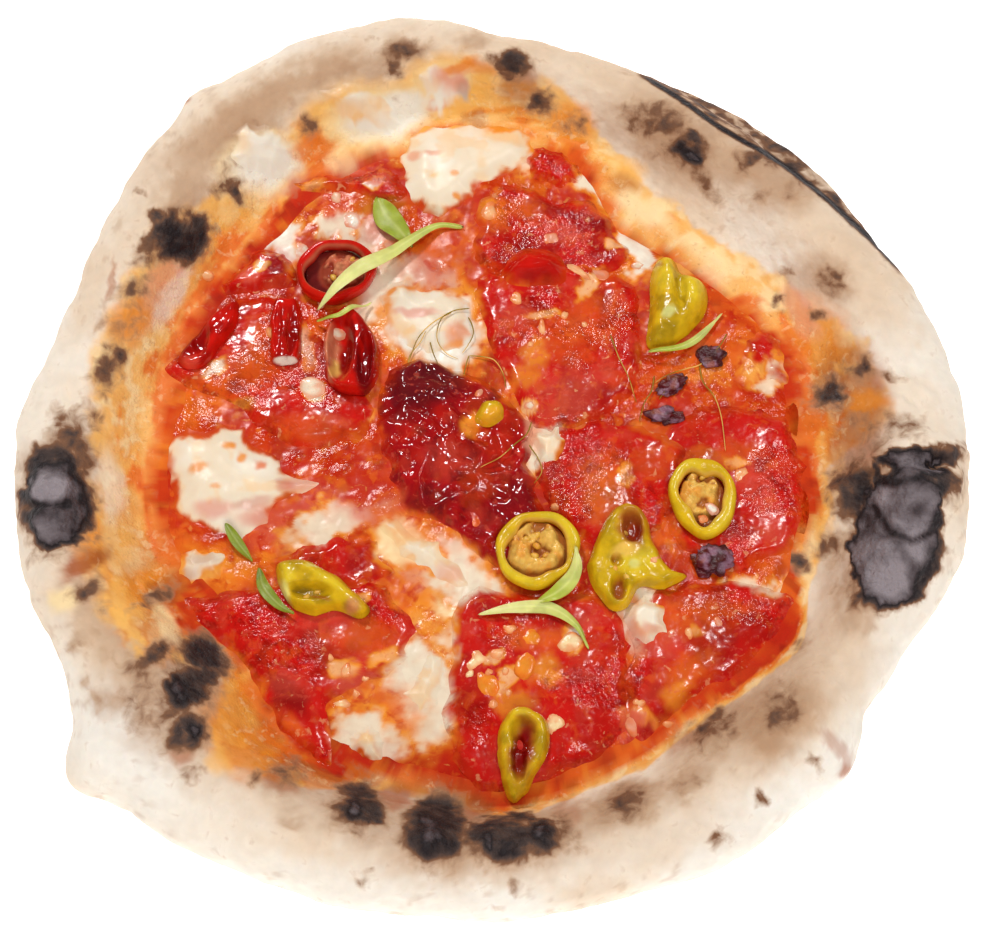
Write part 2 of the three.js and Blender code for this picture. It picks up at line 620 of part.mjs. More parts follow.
const SCRAPS = {
  scrap_dark_low: { x: 67, y: -41, rx: 6.5, ry: 6, rz: 3 },
  scrap_dark_middle: { x: 57.5, y: 19, rx: 5.5, ry: 3.6, rz: 2.2, turn: 35 },
  scrap_dark_inner: { x: 55, y: 8.5, rx: 6, ry: 3, rz: 2 },
  scrap_dark_right: { x: 71, y: 29, rx: 4.6, ry: 4, rz: 2.2 },
};

const LEAVES = {
  leaf_long: { points: [[-58, 45], [-48, 55], [-38, 62], [-29, 70], [-19, 77], [-10, 77]], width: 5, taper: 0.3, steps: 14 },
  leaf_long_stalk: { points: [[-58, 42], [-51, 41], [-45, 45], [-40, 49]], width: 1.8, steps: 7, taper: 0.5 },
  leaf_back: { points: [[-39, 88], [-36, 81], [-31, 75], [-27, 70]], width: 9, taper: 0.15, steps: 8 },
  leaf_low_upright: { points: [[13, -55], [20, -52], [25, -46], [25.5, -38]], width: 5, steps: 9, lift: 2 },
  leaf_low_across: { points: [[-5, -59], [6, -57], [17, -57], [25, -62], [29, -70]], width: 4, steps: 12 },
  leaf_left: { points: [[-84, -29], [-80, -35], [-75, -41]], width: 3.6, steps: 6 },
  leaf_left_low: { points: [[-73, -43], [-71, -50], [-66, -56], [-61, -59]], width: 4, steps: 8 },
  leaf_right: { points: [[50, 30], [58, 31], [66, 35], [75, 45]], width: 2.6, steps: 10, taper: 0.35 },
};

const pizza = new THREE.Group();
pizza.name = 'diavola_pizza';
pizza.position.set(-OUTLINE_MIDDLE.x, -OUTLINE_MIDDLE.y, 0);
pizza.add(makeDough());
pizza.add(makeSauce());

function laySlabs(pieces, usual) {
  for (const [name, piece] of Object.entries(pieces)) {
    pizza.add(slab(name, MATERIALS[piece.material ?? usual], piece));
  }
}

laySlabs(CHEESE, 'cheese');
laySlabs(SALAMI, 'salami');
laySlabs(CHEESE_ON_TOP, 'cheese');
laySlabs(CHILI, 'greenChili');
for (const [name, ring] of Object.entries(RINGS)) {
  pizza.add(chiliRing(name, MATERIALS[ring.material ?? 'greenChili'], ring));
}
for (const [name, piece] of Object.entries(SCRAPS)) pizza.add(scrap(name, piece));
for (const [name, { points, ...shape }] of Object.entries(LEAVES)) pizza.add(leaf(name, points, shape));

export default pizza;
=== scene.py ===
import math

import bmesh
import bpy
import numpy as np
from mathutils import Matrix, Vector


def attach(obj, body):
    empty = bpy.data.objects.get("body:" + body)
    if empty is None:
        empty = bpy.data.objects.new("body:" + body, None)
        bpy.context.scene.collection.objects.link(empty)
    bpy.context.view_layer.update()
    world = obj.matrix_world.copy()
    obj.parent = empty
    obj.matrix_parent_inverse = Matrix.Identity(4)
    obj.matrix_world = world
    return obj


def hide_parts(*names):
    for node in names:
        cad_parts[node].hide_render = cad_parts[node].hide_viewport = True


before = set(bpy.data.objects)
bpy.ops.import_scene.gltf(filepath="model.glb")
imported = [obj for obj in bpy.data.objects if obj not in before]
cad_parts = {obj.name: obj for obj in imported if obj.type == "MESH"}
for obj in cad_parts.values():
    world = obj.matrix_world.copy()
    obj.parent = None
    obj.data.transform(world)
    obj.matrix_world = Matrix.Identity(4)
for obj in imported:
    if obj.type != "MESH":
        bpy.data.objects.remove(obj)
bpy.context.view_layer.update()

print("frame loaded")

# Places on the pizza are in millimetres from a point near the middle of the
# sauce, as in the part's source. Angles are in degrees, anticlockwise from +X.
outlineMiddle = (-0.458, 1.262)


def toMetres(x, y, z):
    return np.stack([(x - outlineMiddle[0]) / 1000, (y - outlineMiddle[1]) / 1000, z / 1000], axis=-1)


def linear(hexColour):
    parts = [int(hexColour[i:i + 2], 16) / 255 for i in (1, 3, 5)]
    return tuple(c / 12.92 if c <= 0.04045 else ((c + 0.055) / 1.055) ** 2.4 for c in parts) + (1.0,)


def smooth(low, high, x):
    t = np.clip((x - low) / (high - low), 0, 1)
    return t * t * (3 - 2 * t)


def lerp(a, b, t):
    return a + (b - a) * t


def curveThrough(a, b, c, d, f):   # a smooth curve from b to c, where a and d lie before and after them
    return b + 0.5 * f * (c - a + f * (2 * a - 5 * b + 4 * c - d + f * (3 * (b - c) + d - a)))


def polar(degrees, distance):
    turn = np.radians(degrees)
    return distance * np.cos(turn), distance * np.sin(turn)


def turned(x, y, degrees):
    c, s = math.cos(math.radians(degrees)), math.sin(math.radians(degrees))
    return c * x - s * y, s * x + c * y


def ball(u, v):   # a unit ball round the grid, its poles below and above
    a, b = 2 * np.pi * u, np.pi * v
    return np.sin(b) * np.cos(a), np.sin(b) * np.sin(a), -np.cos(b)


def seedOf(name):
    return sum(map(ord, name))


# Noise: soft random values on a lattice, in about -1 to 1.
def latticeNoise(x, y, z, seed):
    places = (x, y, z)
    cells = [np.floor(c).astype(np.int64) for c in places]
    parts = [c - f for c, f in zip(places, cells)]
    parts = [t * t * t * (t * (t * 6 - 15) + 10) for t in parts]
    total = np.zeros_like(parts[0])
    for corner in range(8):
        steps = (corner & 1, corner >> 1 & 1, corner >> 2)
        mixed = seed * 974634777 + sum((c + s) * k for c, s, k in zip(cells, steps, (374761393, 668265263, 2147483647)))
        mixed = (mixed ^ (mixed >> 13)) * 1274126177
        value = ((mixed ^ (mixed >> 16)) & 0xFFFF) / 32767.5 - 1
        weight = 1
        for t, s in zip(parts, steps):
            weight = weight * (t if s else 1 - t)
        total += value * weight
    return total


def fractal(x, y, z, size, octaves=3, seed=1):
    x, y, z = (np.asarray(c, float) / size + 31.7 for c in np.broadcast_arrays(x, y, z))
    total, strength = 0, 1
    for octave in range(octaves):
        total = total + strength * latticeNoise(x, y, z, seed + octave)
        x, y, z = 1.6 * x - 1.2 * y, 1.2 * x + 1.6 * y, 2 * z + 5.3   # turned, so that the lattice doesn't show
        strength *= 0.5
    return total * 1.2


# The dough's shape, from the same sizes as the part's source.
dough = {
    "bedTop": 3.6, "widestHeight": 8.5, "crestHeight": 20.5, "crestPlace": 0.56, "undercut": 15, "bedEdge": 0.93,
    "columns": 740, "rows": 128,
    "outer": [149.5, 148, 144.5, 144, 144, 144, 150, 158.8, 160.5, 155.5, 149.3, 146,
              150.2, 152.1, 151, 161, 156, 153.3, 151.3, 149.3, 150.8, 147.5, 144.7, 150.6],
    "inner": [102, 104, 104, 101, 108, 117, 121, 118, 112, 110, 109,
              111, 113, 107, 113, 116, 118, 117, 113, 109, 110, 107],
    "corners": [(221.3, 7.5, 3.6), (130, 4.8, 3.5), (313.5, 3.6, 4), (321, -2, 3)],   # angle, step out, half-width
    "lip": {"at": 47, "width": 17, "inset": 7},
}

# Bubbles that the oven's heat blew up in the rim: x, y, half-widths, height.
blisters = [
    (-135, -28, 10, 13, 3.5), (-91, -87, 16, 16, 5.5), (126, -22, 18, 14, 5), (122, -43, 12, 10, 3),
    (104, -25, 8, 12, 3), (-103, 68, 12, 10, 3), (-19, -127, 9, 10, 2.5), (5, -128, 17, 7, 2),
    (-37, -121, 11, 7, 1.6), (-133, -50, 6, 6, 1.5), (61, 104, 14, 14, 2.5), (114, 26, 9, 11, 2.5),
    (104, 10, 7, 7, 2.5), (42, 92, 8, 9, 2.5), (3, 134, 9, 7, 2), (88, -85, 14, 13, 2),
]

# Smaller lumps and dips in the charred crust.
lumps = [
    (-136, -21, 7, 6, 2.2), (-134, -33, 7, 6, 2.4), (-138, -10, 7, 7, 0.8), (-125, -44, 8, 3.5, 1.5),
    (-131, -51, 5, 3.5, 1.2), (-112, 75, 3, 3, 1.3), (-108, 75, 4, 3, 0.7), (-100, -77, 5, 4, 1),
    (-84, -77, 8, 5, 1.3), (-94, -86, 8, 4, 1), (-90, -98, 6, 8, 1), (-101, -86, 2, 5, -0.8),
    (-84, -88, 5, 2.5, -0.8), (-59, -110, 6, 4, 0.9), (-36, -118, 4, 4, 1), (-44, -122, 4, 4, 0.9),
    (-19, -121, 4, 4, 1), (-18, -131, 5, 5, 1.3), (-2, -128, 4, 4, 1), (7, -127, 4, 4, 0.9), (15, -126, 4, 4, 1),
    (4, 132, 5, 4, 1.2), (5, 126, 6, 1.6, 0.8), (128, -28, 10, 9, 2.6), (119, -46, 10, 8, 2.4),
    (125, -38, 9, 1.8, -1.2), (142, -19, 4, 4, 0.9), (106, -24, 4, 6, 1), (102, -40, 3.5, 3.5, 0.7),
    (65, 103, 3.5, 4.5, 0.8), (62, 96, 7, 4, 0.7), (117, 22, 5, 6, 1.2), (105, 9, 5, 5, 1.3), (124, 3, 5, 5, 0.8),
    (115, 5, 4, 4, -0.8), (64, -97, 5, 5, 1.1), (88, -87, 8, 7, 0.8), (40, -118, 8, 4, 0.7), (22, -121, 3, 4, 0.8),
]

# Ridges and cracks: path, half-width, height.
folds = [
    ([(106, -21), (113, -16), (121, -11), (131, -7.5), (146, -9.5)], 3, 2.6),
    ([(115, -19), (123, -16.5), (131, -16.5), (138, -15.5)], 2.2, -2.6), ([(134, -16), (137, -15)], 2.6, -2.2),
    ([(140, -12), (143, -18), (141, -27)], 2.4, 1.6), ([(-110, -50), (-107, -55), (-100, -60)], 1.6, -1.8),
    ([(-143, -28), (-137, -28), (-131, -29)], 1.2, -1.3), ([(-83, 84), (-88, 84), (-92, 87)], 2.2, 0.9),
    ([(95, 62), (96, 55), (96, 49)], 0.9, -1.2), ([(120, 12), (128, 9), (133, 5)], 1.2, -0.9),
    ([(129, 14), (134, 11), (139, 8)], 1.3, 0.9), ([(-108, 114), (-104, 122)], 1, -0.9),
]


def around(values, degrees):   # a smooth closed curve through values at equal steps of angle
    values = np.asarray(values, float)
    n = len(values)
    turn = np.mod(degrees, 360) / 360 * n
    i = np.floor(turn).astype(int)
    f = turn - i
    a, b, c, d = (values[(i + k) % n] for k in (-1, 0, 1, 2))
    return curveThrough(a, b, c, d, f)


def bell(degrees, centre, width):
    return np.exp(-((np.mod(degrees - centre + 180, 360) - 180) / width) ** 2)


def outerRadius(degrees):
    return around(dough["outer"], degrees) + sum(out * bell(degrees, at, width) for at, out, width in dough["corners"])


def innerRadius(degrees):
    return around(dough["inner"], degrees)


def crestRadius(degrees):
    return lerp(innerRadius(degrees), outerRadius(degrees), dough["crestPlace"])


def crestHeight(degrees):
    a = np.radians(degrees)
    return dough["crestHeight"] + 1.2 * np.sin(3 * a + 1) + 0.8 * np.sin(7 * a + 2)


def bumps(x, y, table, power=3):
    return sum(rise * np.exp(-np.hypot((x - bx) / rx, (y - by) / ry) ** power) for bx, by, rx, ry, rise in table)


def pathDistance(points, x, y, closed=False):
    least = np.full(np.shape(x), np.inf)
    ends = points[1:] + points[:1] if closed else points[1:]
    for (ax, ay), (bx, by) in zip(points, ends):
        vx, vy = bx - ax, by - ay
        t = np.clip(((x - ax) * vx + (y - ay) * vy) / (vx * vx + vy * vy + 1e-9), 0, 1)
        least = np.minimum(least, np.hypot(x - ax - t * vx, y - ay - t * vy))
    return least


def doughTop(x, y):
    degrees = np.degrees(np.arctan2(y, x))
    r = np.hypot(x, y)
    inner, crest = innerRadius(degrees), crestRadius(degrees)
    down = np.clip((crest - r) / (crest - inner), 0, 1)
    fullness = lerp(0.85, 0.5, bell(degrees, 270, 60))
    rise = (crestHeight(degrees) - dough["bedTop"]) * (0.5 + 0.5 * np.cos(np.pi * down)) ** fullness
    onRim = smooth(dough["bedEdge"], 1, r / inner)
    return dough["bedTop"] + rise + onRim * bumps(x, y, blisters)


def doughRelief(x, y, z, degrees):   # the skin's own lumps and wrinkles
    folded = sum(rise * np.exp(-(pathDistance(path, x, y) / width) ** 2) for path, width, rise in folds)
    charred = np.clip(bumps(x, y, [(bx, by, rx * 1.1, ry * 1.1, 1) for bx, by, rx, ry, _ in blisters[:13]]), 0, 1)
    crags = 0.55 * charred * (0.4 - np.abs(fractal(x, y, z, 5, 3, 71)))
    broad = 0.9 * fractal(x, y, z, 30, 2, 11) + 0.5 * fractal(x, y, z, 10, 3, 12)
    stretch = 0.14 * fractal(degrees * 2.6, np.zeros_like(z), z, 4.5, 2, 13) * bell(degrees, 238, 26)
    return bumps(x, y, lumps, 2.4) + folded + crags + broad + stretch + 0.12 * fractal(x, y, z, 3, 2, 14)


# A mesh is a grid that is folded round into the shape, its seam and poles then merged.
def surface(bm, columns, rows, shapeOf):
    layers = bm.verts.layers
    paintLayer, wetLayer, marksLayer = (kind.get(name) or kind.new(name) for kind, name in (
        (layers.float_color, "paint"), (layers.float, "wet"), (layers.float, "marks")))
    made = bmesh.ops.create_grid(bm, x_segments=columns, y_segments=rows, size=0.5)["verts"]
    flat = np.array([v.co for v in made])
    x, y, z, paint, wet, marks = shapeOf(flat[:, 0] + 0.5, flat[:, 1] + 0.5)
    places = toMetres(x, y, z).tolist()
    colours = np.concatenate([paint, np.ones((len(paint), 1))], axis=1).tolist()
    wet, marks = (np.broadcast_to(values, len(made)).tolist() for values in (wet, marks))
    for v, place, colour, w, m in zip(made, places, colours, wet, marks):
        v.co = place
        v[paintLayer], v[wetLayer], v[marksLayer] = colour, w, m


def finishPiece(bm, name, material, node, slot, merge=2e-6):   # merge in metres
    bmesh.ops.remove_doubles(bm, verts=bm.verts[:], dist=merge)
    bmesh.ops.recalc_face_normals(bm, faces=bm.faces[:])
    mesh = bpy.data.meshes.new(name)
    bm.to_mesh(mesh)
    bm.free()
    mesh.shade_smooth()
    mesh.materials.append(material)
    piece = bpy.data.objects.new(name, mesh)
    bpy.context.scene.collection.objects.link(piece)
    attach(piece, "root")
    if node:
        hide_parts(node)


# Each piece is painted with named tones at named places.
tones = {name: np.array(linear(value)[:3]) for name, value in {
    "flour": "#F6EFE4", "cream": "#EFDCC6", "tan": "#DAB896", "toast": "#B58B69", "brown": "#80583F",
    # the two greys after coal are a painted grey sheen for burnt blisters
    "char": "#4E3D37", "coal": "#2A2223", "dimGreySheen": "#574B4D", "ash": "#93878A", "sienna": "#C2521C", "rust": "#A8521F",
    "butter": "#FADCA6", "ivory": "#EFDCC0", "milk": "#F2E7D4", "gold": "#F6B65A", "amber": "#EE8F28",
    "orange": "#E5681C", "ember": "#CB3A0A", "tomato": "#BD1C07", "blood": "#840604", "scarlet": "#CB150B",
    "maroon": "#A50D12", "rose": "#D8553F", "blush": "#E59A7C", "fat": "#F2B27C", "plum": "#5A0E16",
    "mauve": "#93667A", "olive": "#D9AE14", "lime": "#E8CC30", "moss": "#96760E", "seed": "#EDBB5A",
    "membrane": "#D98A62", "leaf": "#B2BE3C", "leafPale": "#E6E690", "leafDark": "#56661C",
}.items()}
paleTones = {"ivory", "milk", "butter", "fat", "blush", "gold"}


def mixed(colours, tone, strength):
    return colours + (tones[tone] - colours) * np.clip(strength, 0, 1)[:, None]


def base(tone, count):
    return np.tile(tones[tone], (count, 1))


# Lays clouds of tone over the colours. A cloud: tone, strength, the noise at which it begins and is full, and
# the noise's size in mm, octaves and seed.
def clouded(colours, x, y, z, seed, *clouds):
    for tone, strength, begins, full, size, octaves, ownSeed in clouds:
        colours = mixed(colours, tone, strength * smooth(begins, full, fractal(x, y, z, size, octaves, seed + ownSeed)))
    return colours


# How far each spot covers each place. Ragged is how far its outline wanders. Soft is a share of the spot, and
# halo, where it is given, a width in mm instead.
def spotCover(x, y, z, spots, ragged, seed, soft, halo=None):
    wx, wy = (c + ragged * (1.6 * fractal(x, y, z, 7, 2, seed + k) + 0.8 * fractal(x, y, z, 2.4, 2, seed + k + 9))
              for c, k in ((x, 0), (y, 20)))
    for tone, sx, sy, width, depth, strength, *turn in [(tone, *spot) for tone, group in spots for spot in group]:
        near = np.abs(x - sx) + np.abs(y - sy) < 1.6 * (width + depth) + 6
        dx, dy = turned(wx[near] - sx, wy[near] - sy, -sum(turn))
        away = np.hypot(dx / (width / 2), dy / (depth / 2))
        fade = min(0.85, 4 * halo / (width + depth)) if halo else soft
        yield tone, near, strength * smooth(1 + fade, 1 - fade, away), strength


# Lays spots of tone over the colours. An oily pale patch shades through amber into red, as oil does round cheese.
def spotted(colours, x, y, z, spots, ragged=1.0, seed=5, soft=0.42, oily=False):
    for tone, near, amount, strength in spotCover(x, y, z, spots, ragged, seed, soft):
        if oily and tone in paleTones:
            colours[near] = mixed(colours[near], "amber", smooth(0, 0.35, amount))
            amount = smooth(0.25, 0.75, amount) * min(1, strength + 0.1)
        colours[near] = mixed(colours[near], tone, amount)
    return colours


def addNode(tree, kind, links=None, **settings):
    made = tree.nodes.new(kind)
    for key, value in settings.items():
        if key in made.inputs:
            made.inputs[key].default_value = value
        else:
            setattr(made, key, value)
    for key, source in (links or {}).items():
        tree.links.new(source, made.inputs[key])
    return made


def ranged(tree, value, low, high, toLow, toHigh):
    return addNode(tree, "ShaderNodeMapRange", {"Value": value}, **{
        "From Min": low, "From Max": high, "To Min": toLow, "To Max": toHigh}).outputs["Result"]


# Food in one finish: painted colour, broken up by flecks and grain, with bumps of two sizes in mm. A fleck: tone,
# size in mm, rarity (0.5 covers half, 0.65 little), softness, strength, and the attribute that spreads it.
def foodMaterial(name, shader, grain=0.8, depth=0.05, swell=3.0, swellDepth=0.0, mottle=0.1, dullRoughness=0,
                 flecks=(), scorched=False):
    material = bpy.data.materials.new(name)
    material.use_nodes = True
    tree = material.node_tree
    principled = tree.nodes["Principled BSDF"]
    for key, value in shader.items():
        principled.inputs[key].default_value = value
    place = addNode(tree, "ShaderNodeTexCoord").outputs["Object"]
    wet = addNode(tree, "ShaderNodeAttribute", attribute_name="wet").outputs["Fac"]
    marks = addNode(tree, "ShaderNodeAttribute", attribute_name="marks").outputs["Fac"]
    colour = addNode(tree, "ShaderNodeAttribute", attribute_name="paint").outputs["Color"]

    def noise(size, detail, distortion=0.0):
        perMetre = 1000 / size
        return addNode(tree, "ShaderNodeTexNoise", {"Vector": place}, Scale=perMetre, Detail=detail,
                       Distortion=distortion).outputs["Fac"]

    def combined(operation, *values):   # of numbers and other nodes' outputs
        made = addNode(tree, "ShaderNodeMath", operation=operation)
        for socket, value in zip(made.inputs, values):
            if isinstance(value, float):
                socket.default_value = value
            else:
                tree.links.new(value, socket)
        return made.outputs[0]

    for tone, size, rarity, softness, strength, spread in flecks:
        amount = ranged(tree, noise(size, 3.0, 0.5), rarity, rarity + softness, 0, strength)
        spreading = combined("MULTIPLY", amount, wet if spread == "wet" else marks)
        laid = addNode(tree, "ShaderNodeMix", {0: spreading, 6: colour}, data_type="RGBA")   # 6 and 7: its colours
        laid.inputs[7].default_value = (*tones[tone], 1)
        colour = laid.outputs[2]
    fine, coarse = noise(grain, 3.0), noise(swell, 2.0)
    tint = ranged(tree, coarse, 0.3, 0.7, 1 - mottle, 1 + mottle)
    colour = addNode(tree, "ShaderNodeVectorMath", {0: colour, "Scale": tint}, operation="SCALE").outputs["Vector"]
    wrinkled = ranged(tree, wet, 0.4, 0.9, 0.05, 1)
    large = addNode(tree, "ShaderNodeBump", {"Height": coarse}, Distance=swellDepth / 1000, Strength=1.0)
    bumped = addNode(tree, "ShaderNodeBump", {"Height": fine, "Strength": wrinkled, "Normal": large.outputs["Normal"]},
                     Distance=depth / 1000).outputs["Normal"]
    if scorched:   # brown, then black, where the marks rise, with frayed edges and blistered skin
        burnt = combined("SUBTRACT", combined("MULTIPLY_ADD", noise(4.0, 6.0, 0.5), 0.7, marks), 0.35)
        ramp = addNode(tree, "ShaderNodeValToRGB", {"Fac": combined("MULTIPLY", burnt, 0.5)})
        stops = ramp.color_ramp.elements
        stops.remove(stops[1])
        stops[0].position, stops[0].color = 0.08, (*tones["toast"], 1)
        # the two greys at the top of the ramp are a painted grey sheen on burnt blisters
        for at, tone in ((0.22, "brown"), (0.34, "char"), (0.49, "coal"), (0.53, "coal"), (0.64, "dimGreySheen"), (0.9, "ash")):
            stops.new(at).color = (*tones[tone], 1)
        scorching = ranged(tree, burnt, 0.08, 0.42, 0, 1)
        colour = addNode(tree, "ShaderNodeMix", {0: scorching, 6: colour, 7: ramp.outputs["Color"]},
                         data_type="RGBA").outputs[2]
        crusty = ranged(tree, marks, 0.1, 0.8, 0, 1)
        bumped = addNode(tree, "ShaderNodeBump", {"Height": noise(2.6, 3.0), "Strength": crusty, "Normal": bumped},
                         Distance=0.0016).outputs["Normal"]
    tree.links.new(colour, principled.inputs["Base Color"])
    tree.links.new(bumped, principled.inputs["Normal"])
    if dullRoughness:
        tree.links.new(ranged(tree, wet, 0, 1, dullRoughness, shader["Roughness"]), principled.inputs["Roughness"])
    return material


bakedDough = foodMaterial(   # floured wheat dough from a wood oven: dull and dusty, a little glossy where it is charred
    "baked wheat dough", {"Roughness": 0.36, "Specular IOR Level": 0.2, "Subsurface Weight": 0.1,
                          "Subsurface Radius": (0.004, 0.002, 0.001), "Subsurface Scale": 0.6},
    grain=0.8, depth=0.3, swell=4, swellDepth=0.5, mottle=0.04, dullRoughness=0.85, scorched=True,
    flecks=[("butter", 2.8, 0.55, 0.12, 0.4, "wet"), ("rust", 1.8, 0.62, 0.1, 0.35, "wet")])
tomatoSauce = foodMaterial(   # crushed tomato under hot oil: wet, uneven, with small bright glints
    "oily crushed tomato", {"Roughness": 0.14, "Specular IOR Level": 0.3},
    grain=1.3, depth=0.3, swell=7, swellDepth=0.6, mottle=0.08, dullRoughness=0.3,
    flecks=[("tomato", 5, 0.52, 0.14, 0.7, "marks"), ("orange", 3.4, 0.56, 0.12, 0.5, "marks"),
            ("gold", 2.6, 0.64, 0.08, 0.3, "marks")])
mozzarella = foodMaterial(   # melted mozzarella: smooth, milky, with a satin skin of fat
    "melted mozzarella", {"Roughness": 0.34, "Specular IOR Level": 0.3, "Subsurface Weight": 0.12,
                          "Subsurface Radius": (0.004, 0.0025, 0.0012), "Subsurface Scale": 0.3},
    grain=2.2, depth=0.05, swell=9, swellDepth=0.4, mottle=0.03)
salamiMeat = foodMaterial(   # soft spicy salami in its own hot fat: deep red, glossy, with a glint at each wrinkle
    "spicy salami", {"Roughness": 0.13, "Specular IOR Level": 0.4},
    grain=1.3, depth=0.4, swell=6, swellDepth=0.65, mottle=0.08, dullRoughness=0.2,
    flecks=[("blood", 6.5, 0.52, 0.15, 0.6, "wet"), ("orange", 4.6, 0.56, 0.12, 0.35, "marks"),
            ("blood", 2.2, 0.54, 0.1, 0.45, "wet"), ("rose", 1.7, 0.57, 0.08, 0.4, "marks"),
            ("fat", 2.8, 0.64, 0.07, 0.5, "marks")])
darkSalamiMeat = foodMaterial(   # the same, roasted dark and crumpled
    "roasted spicy salami", {"Roughness": 0.08, "Specular IOR Level": 0.6},
    grain=1.1, depth=0.16, swell=5, swellDepth=0.9, mottle=0.16, dullRoughness=0.16,
    flecks=[("plum", 4.2, 0.53, 0.12, 0.5, "wet"), ("rose", 2.4, 0.6, 0.08, 0.5, "marks")])
redChiliSkin = foodMaterial(   # fresh red chili: waxed skin, smooth and bright
    "red chili", {"Roughness": 0.12, "Specular IOR Level": 0.4},
    grain=2, depth=0.08, swell=5, swellDepth=0.35, mottle=0.12)
pickledChiliSkin = foodMaterial(   # pickled green chili: soft, wet, slightly see-through flesh
    "pickled chili", {"Roughness": 0.22, "Specular IOR Level": 0.4,
                      "Subsurface Weight": 0.12, "Subsurface Radius": (0.003, 0.002, 0.0006), "Subsurface Scale": 0.4},
    grain=1.4, depth=0.12, swell=4, swellDepth=0.45, mottle=0.12)
roastedOnion = foodMaterial(   # dry, scorched skin of red onion
    "roasted red onion", {"Roughness": 0.35, "Specular IOR Level": 0.5}, grain=0.9, depth=0.4, swell=3, swellDepth=0.8,
    mottle=0.2)
sproutLeaf = foodMaterial(   # fresh radish sprout: thin, soft, light passes through
    "radish sprout", {"Roughness": 0.42, "Specular IOR Level": 0.4, "Subsurface Weight": 0.3,
                      "Subsurface Radius": (0.002, 0.003, 0.001), "Subsurface Scale": 0.5},
    grain=1.0, depth=0.05, swell=4, mottle=0.08)
print("materials made")

# Places of the crust's spots were read at the rim's own level, so each point is
# followed to that level along the line from the viewer's eye.
eye = {"distance": 604, "elevation": 68, "target": (-0.7, -10.0, 8), "level": 18, "lens": 70, "sensor": 36}
eyeBack = math.cos(math.radians(eye["elevation"])) * eye["distance"]
eyeUp = math.sin(math.radians(eye["elevation"])) * eye["distance"]
eyePlace = (eye["target"][0], eye["target"][1] - eyeBack, eye["target"][2] + eyeUp)


def atLevel(x, y, z, level):
    share = (eyePlace[2] - level) / (eyePlace[2] - z)
    return eyePlace[0] + (x - eyePlace[0]) * share, eyePlace[1] + (y - eyePlace[1]) * share


# How far out the red of the sauce, and then its oil, reach at that level, at equal steps of angle.
redReach = [95, 97, 98, 93, 88, 85, 83, 80, 81, 90, 103, 101, 99, 99, 100, 112, 106, 111, 104, 102, 103, 103, 101, 102,
            104, 106, 110, 105, 113, 112, 107, 111, 119, 121.5, 114, 115, 121, 119, 115, 114, 109.5, 111, 112, 113.5,
            107, 101, 104, 99]
oilReach = [125, 124, 121, 110, 107, 100, 97, 99, 101, 107, 119, 128, 134, 138, 128, 131, 127, 131, 125, 128, 131, 130,
            129, 130, 127, 126, 130, 134, 134, 126, 116, 134, 131, 125, 120, 119.5, 123.5, 122, 118.5, 118, 114, 114,
            113.5, 112.5, 110, 108, 108, 106]

# Spots by tone, in the order in which they are laid: angle, distance out, width along the rim, width across it,
# strength, and a turn where there is one.
plainSpots = [
    ("flour", [(150, 150, 90, 22, 0.2), (178, 146, 80, 16, 0.3), (222, 150, 50, 26, 0.85), (330, 145, 70, 22, 0.6),
        (303, 148, 110, 16, 0.9), (262, 149, 130, 14, 0.75), (10, 146, 60, 14, 0.5), (112, 155, 70, 12, 0.2),
        (40, 112, 44, 16, 0.5), (300, 135, 60, 14, 0.5), (325, 128, 30, 20, 0.4)]), ("tan", [(68, 135, 60, 24, 0.6),
        (50, 122, 80, 30, 0.55), (25, 128, 44, 24, 0.6), (85, 144, 40, 14, 0.4), (209, 132, 50, 26, 0.8),
        (243, 133, 80, 20, 0.45), (275, 134, 110, 18, 0.4), (312, 122, 74, 28, 0.75), (330, 122, 34, 18, 0.5),
        (122, 141, 100, 22, 0.7), (140, 132, 50, 18, 0.6), (160, 136, 34, 14, 0.4), (285, 126, 60, 14, 0.6),
        (96, 142, 40, 12, 0.5), (352, 147, 24, 8, 0.4)]), ("toast", [(131, 140, 44, 15, 0.75),
        (118, 142, 44, 13, 0.7), (108, 138, 30, 12, 0.6), (141, 131, 20, 14, 0.65), (127, 133, 30, 10, 0.5),
        (127.5, 135.5, 9, 7, 0.7), (92.5, 142, 8, 6, 0.6), (110.5, 141, 5, 7, 0.5), (103, 141, 18, 12, 0.7),
        (60, 120, 44, 28, 0.85), (42, 128, 18, 20, 0.75), (48, 127, 14, 14, 0.75), (25, 121, 14, 12, 0.7),
        (27, 111, 14, 12, 0.5), (73, 117, 4, 7, 0.5), (312, 125, 30, 20, 0.8), (303, 117, 24, 14, 0.6),
        (288, 125, 26, 12, 0.75), (297, 127, 12, 6, 0.6), (332, 124, 18, 12, 0.65), (322, 116, 12, 5, 0.5),
        (338, 115, 24, 16, 0.5), (272, 129, 44, 20, 0.7), (262, 128, 26, 26, 0.7), (252, 126, 22, 20, 0.7),
        (241, 127, 22, 14, 0.6), (223, 126, 42, 36, 0.7), (207, 131, 26, 18, 0.5), (190, 137, 30, 30, 0.5),
        (217.5, 147.5, 8, 6, 0.7), (214, 147, 4, 3, 0.6), (219, 143, 5, 5, 0.5), (210, 144, 4, 8, 0.6),
        (184, 133, 12, 22, 0.6), (165, 131, 6, 4, 0.6), (352, 118, 18, 24, 0.6), (309, 126, 7, 16, 0.5),
        (245, 136, 8, 4, 0.6), (330, 131, 5, 4, 0.5)]),
]
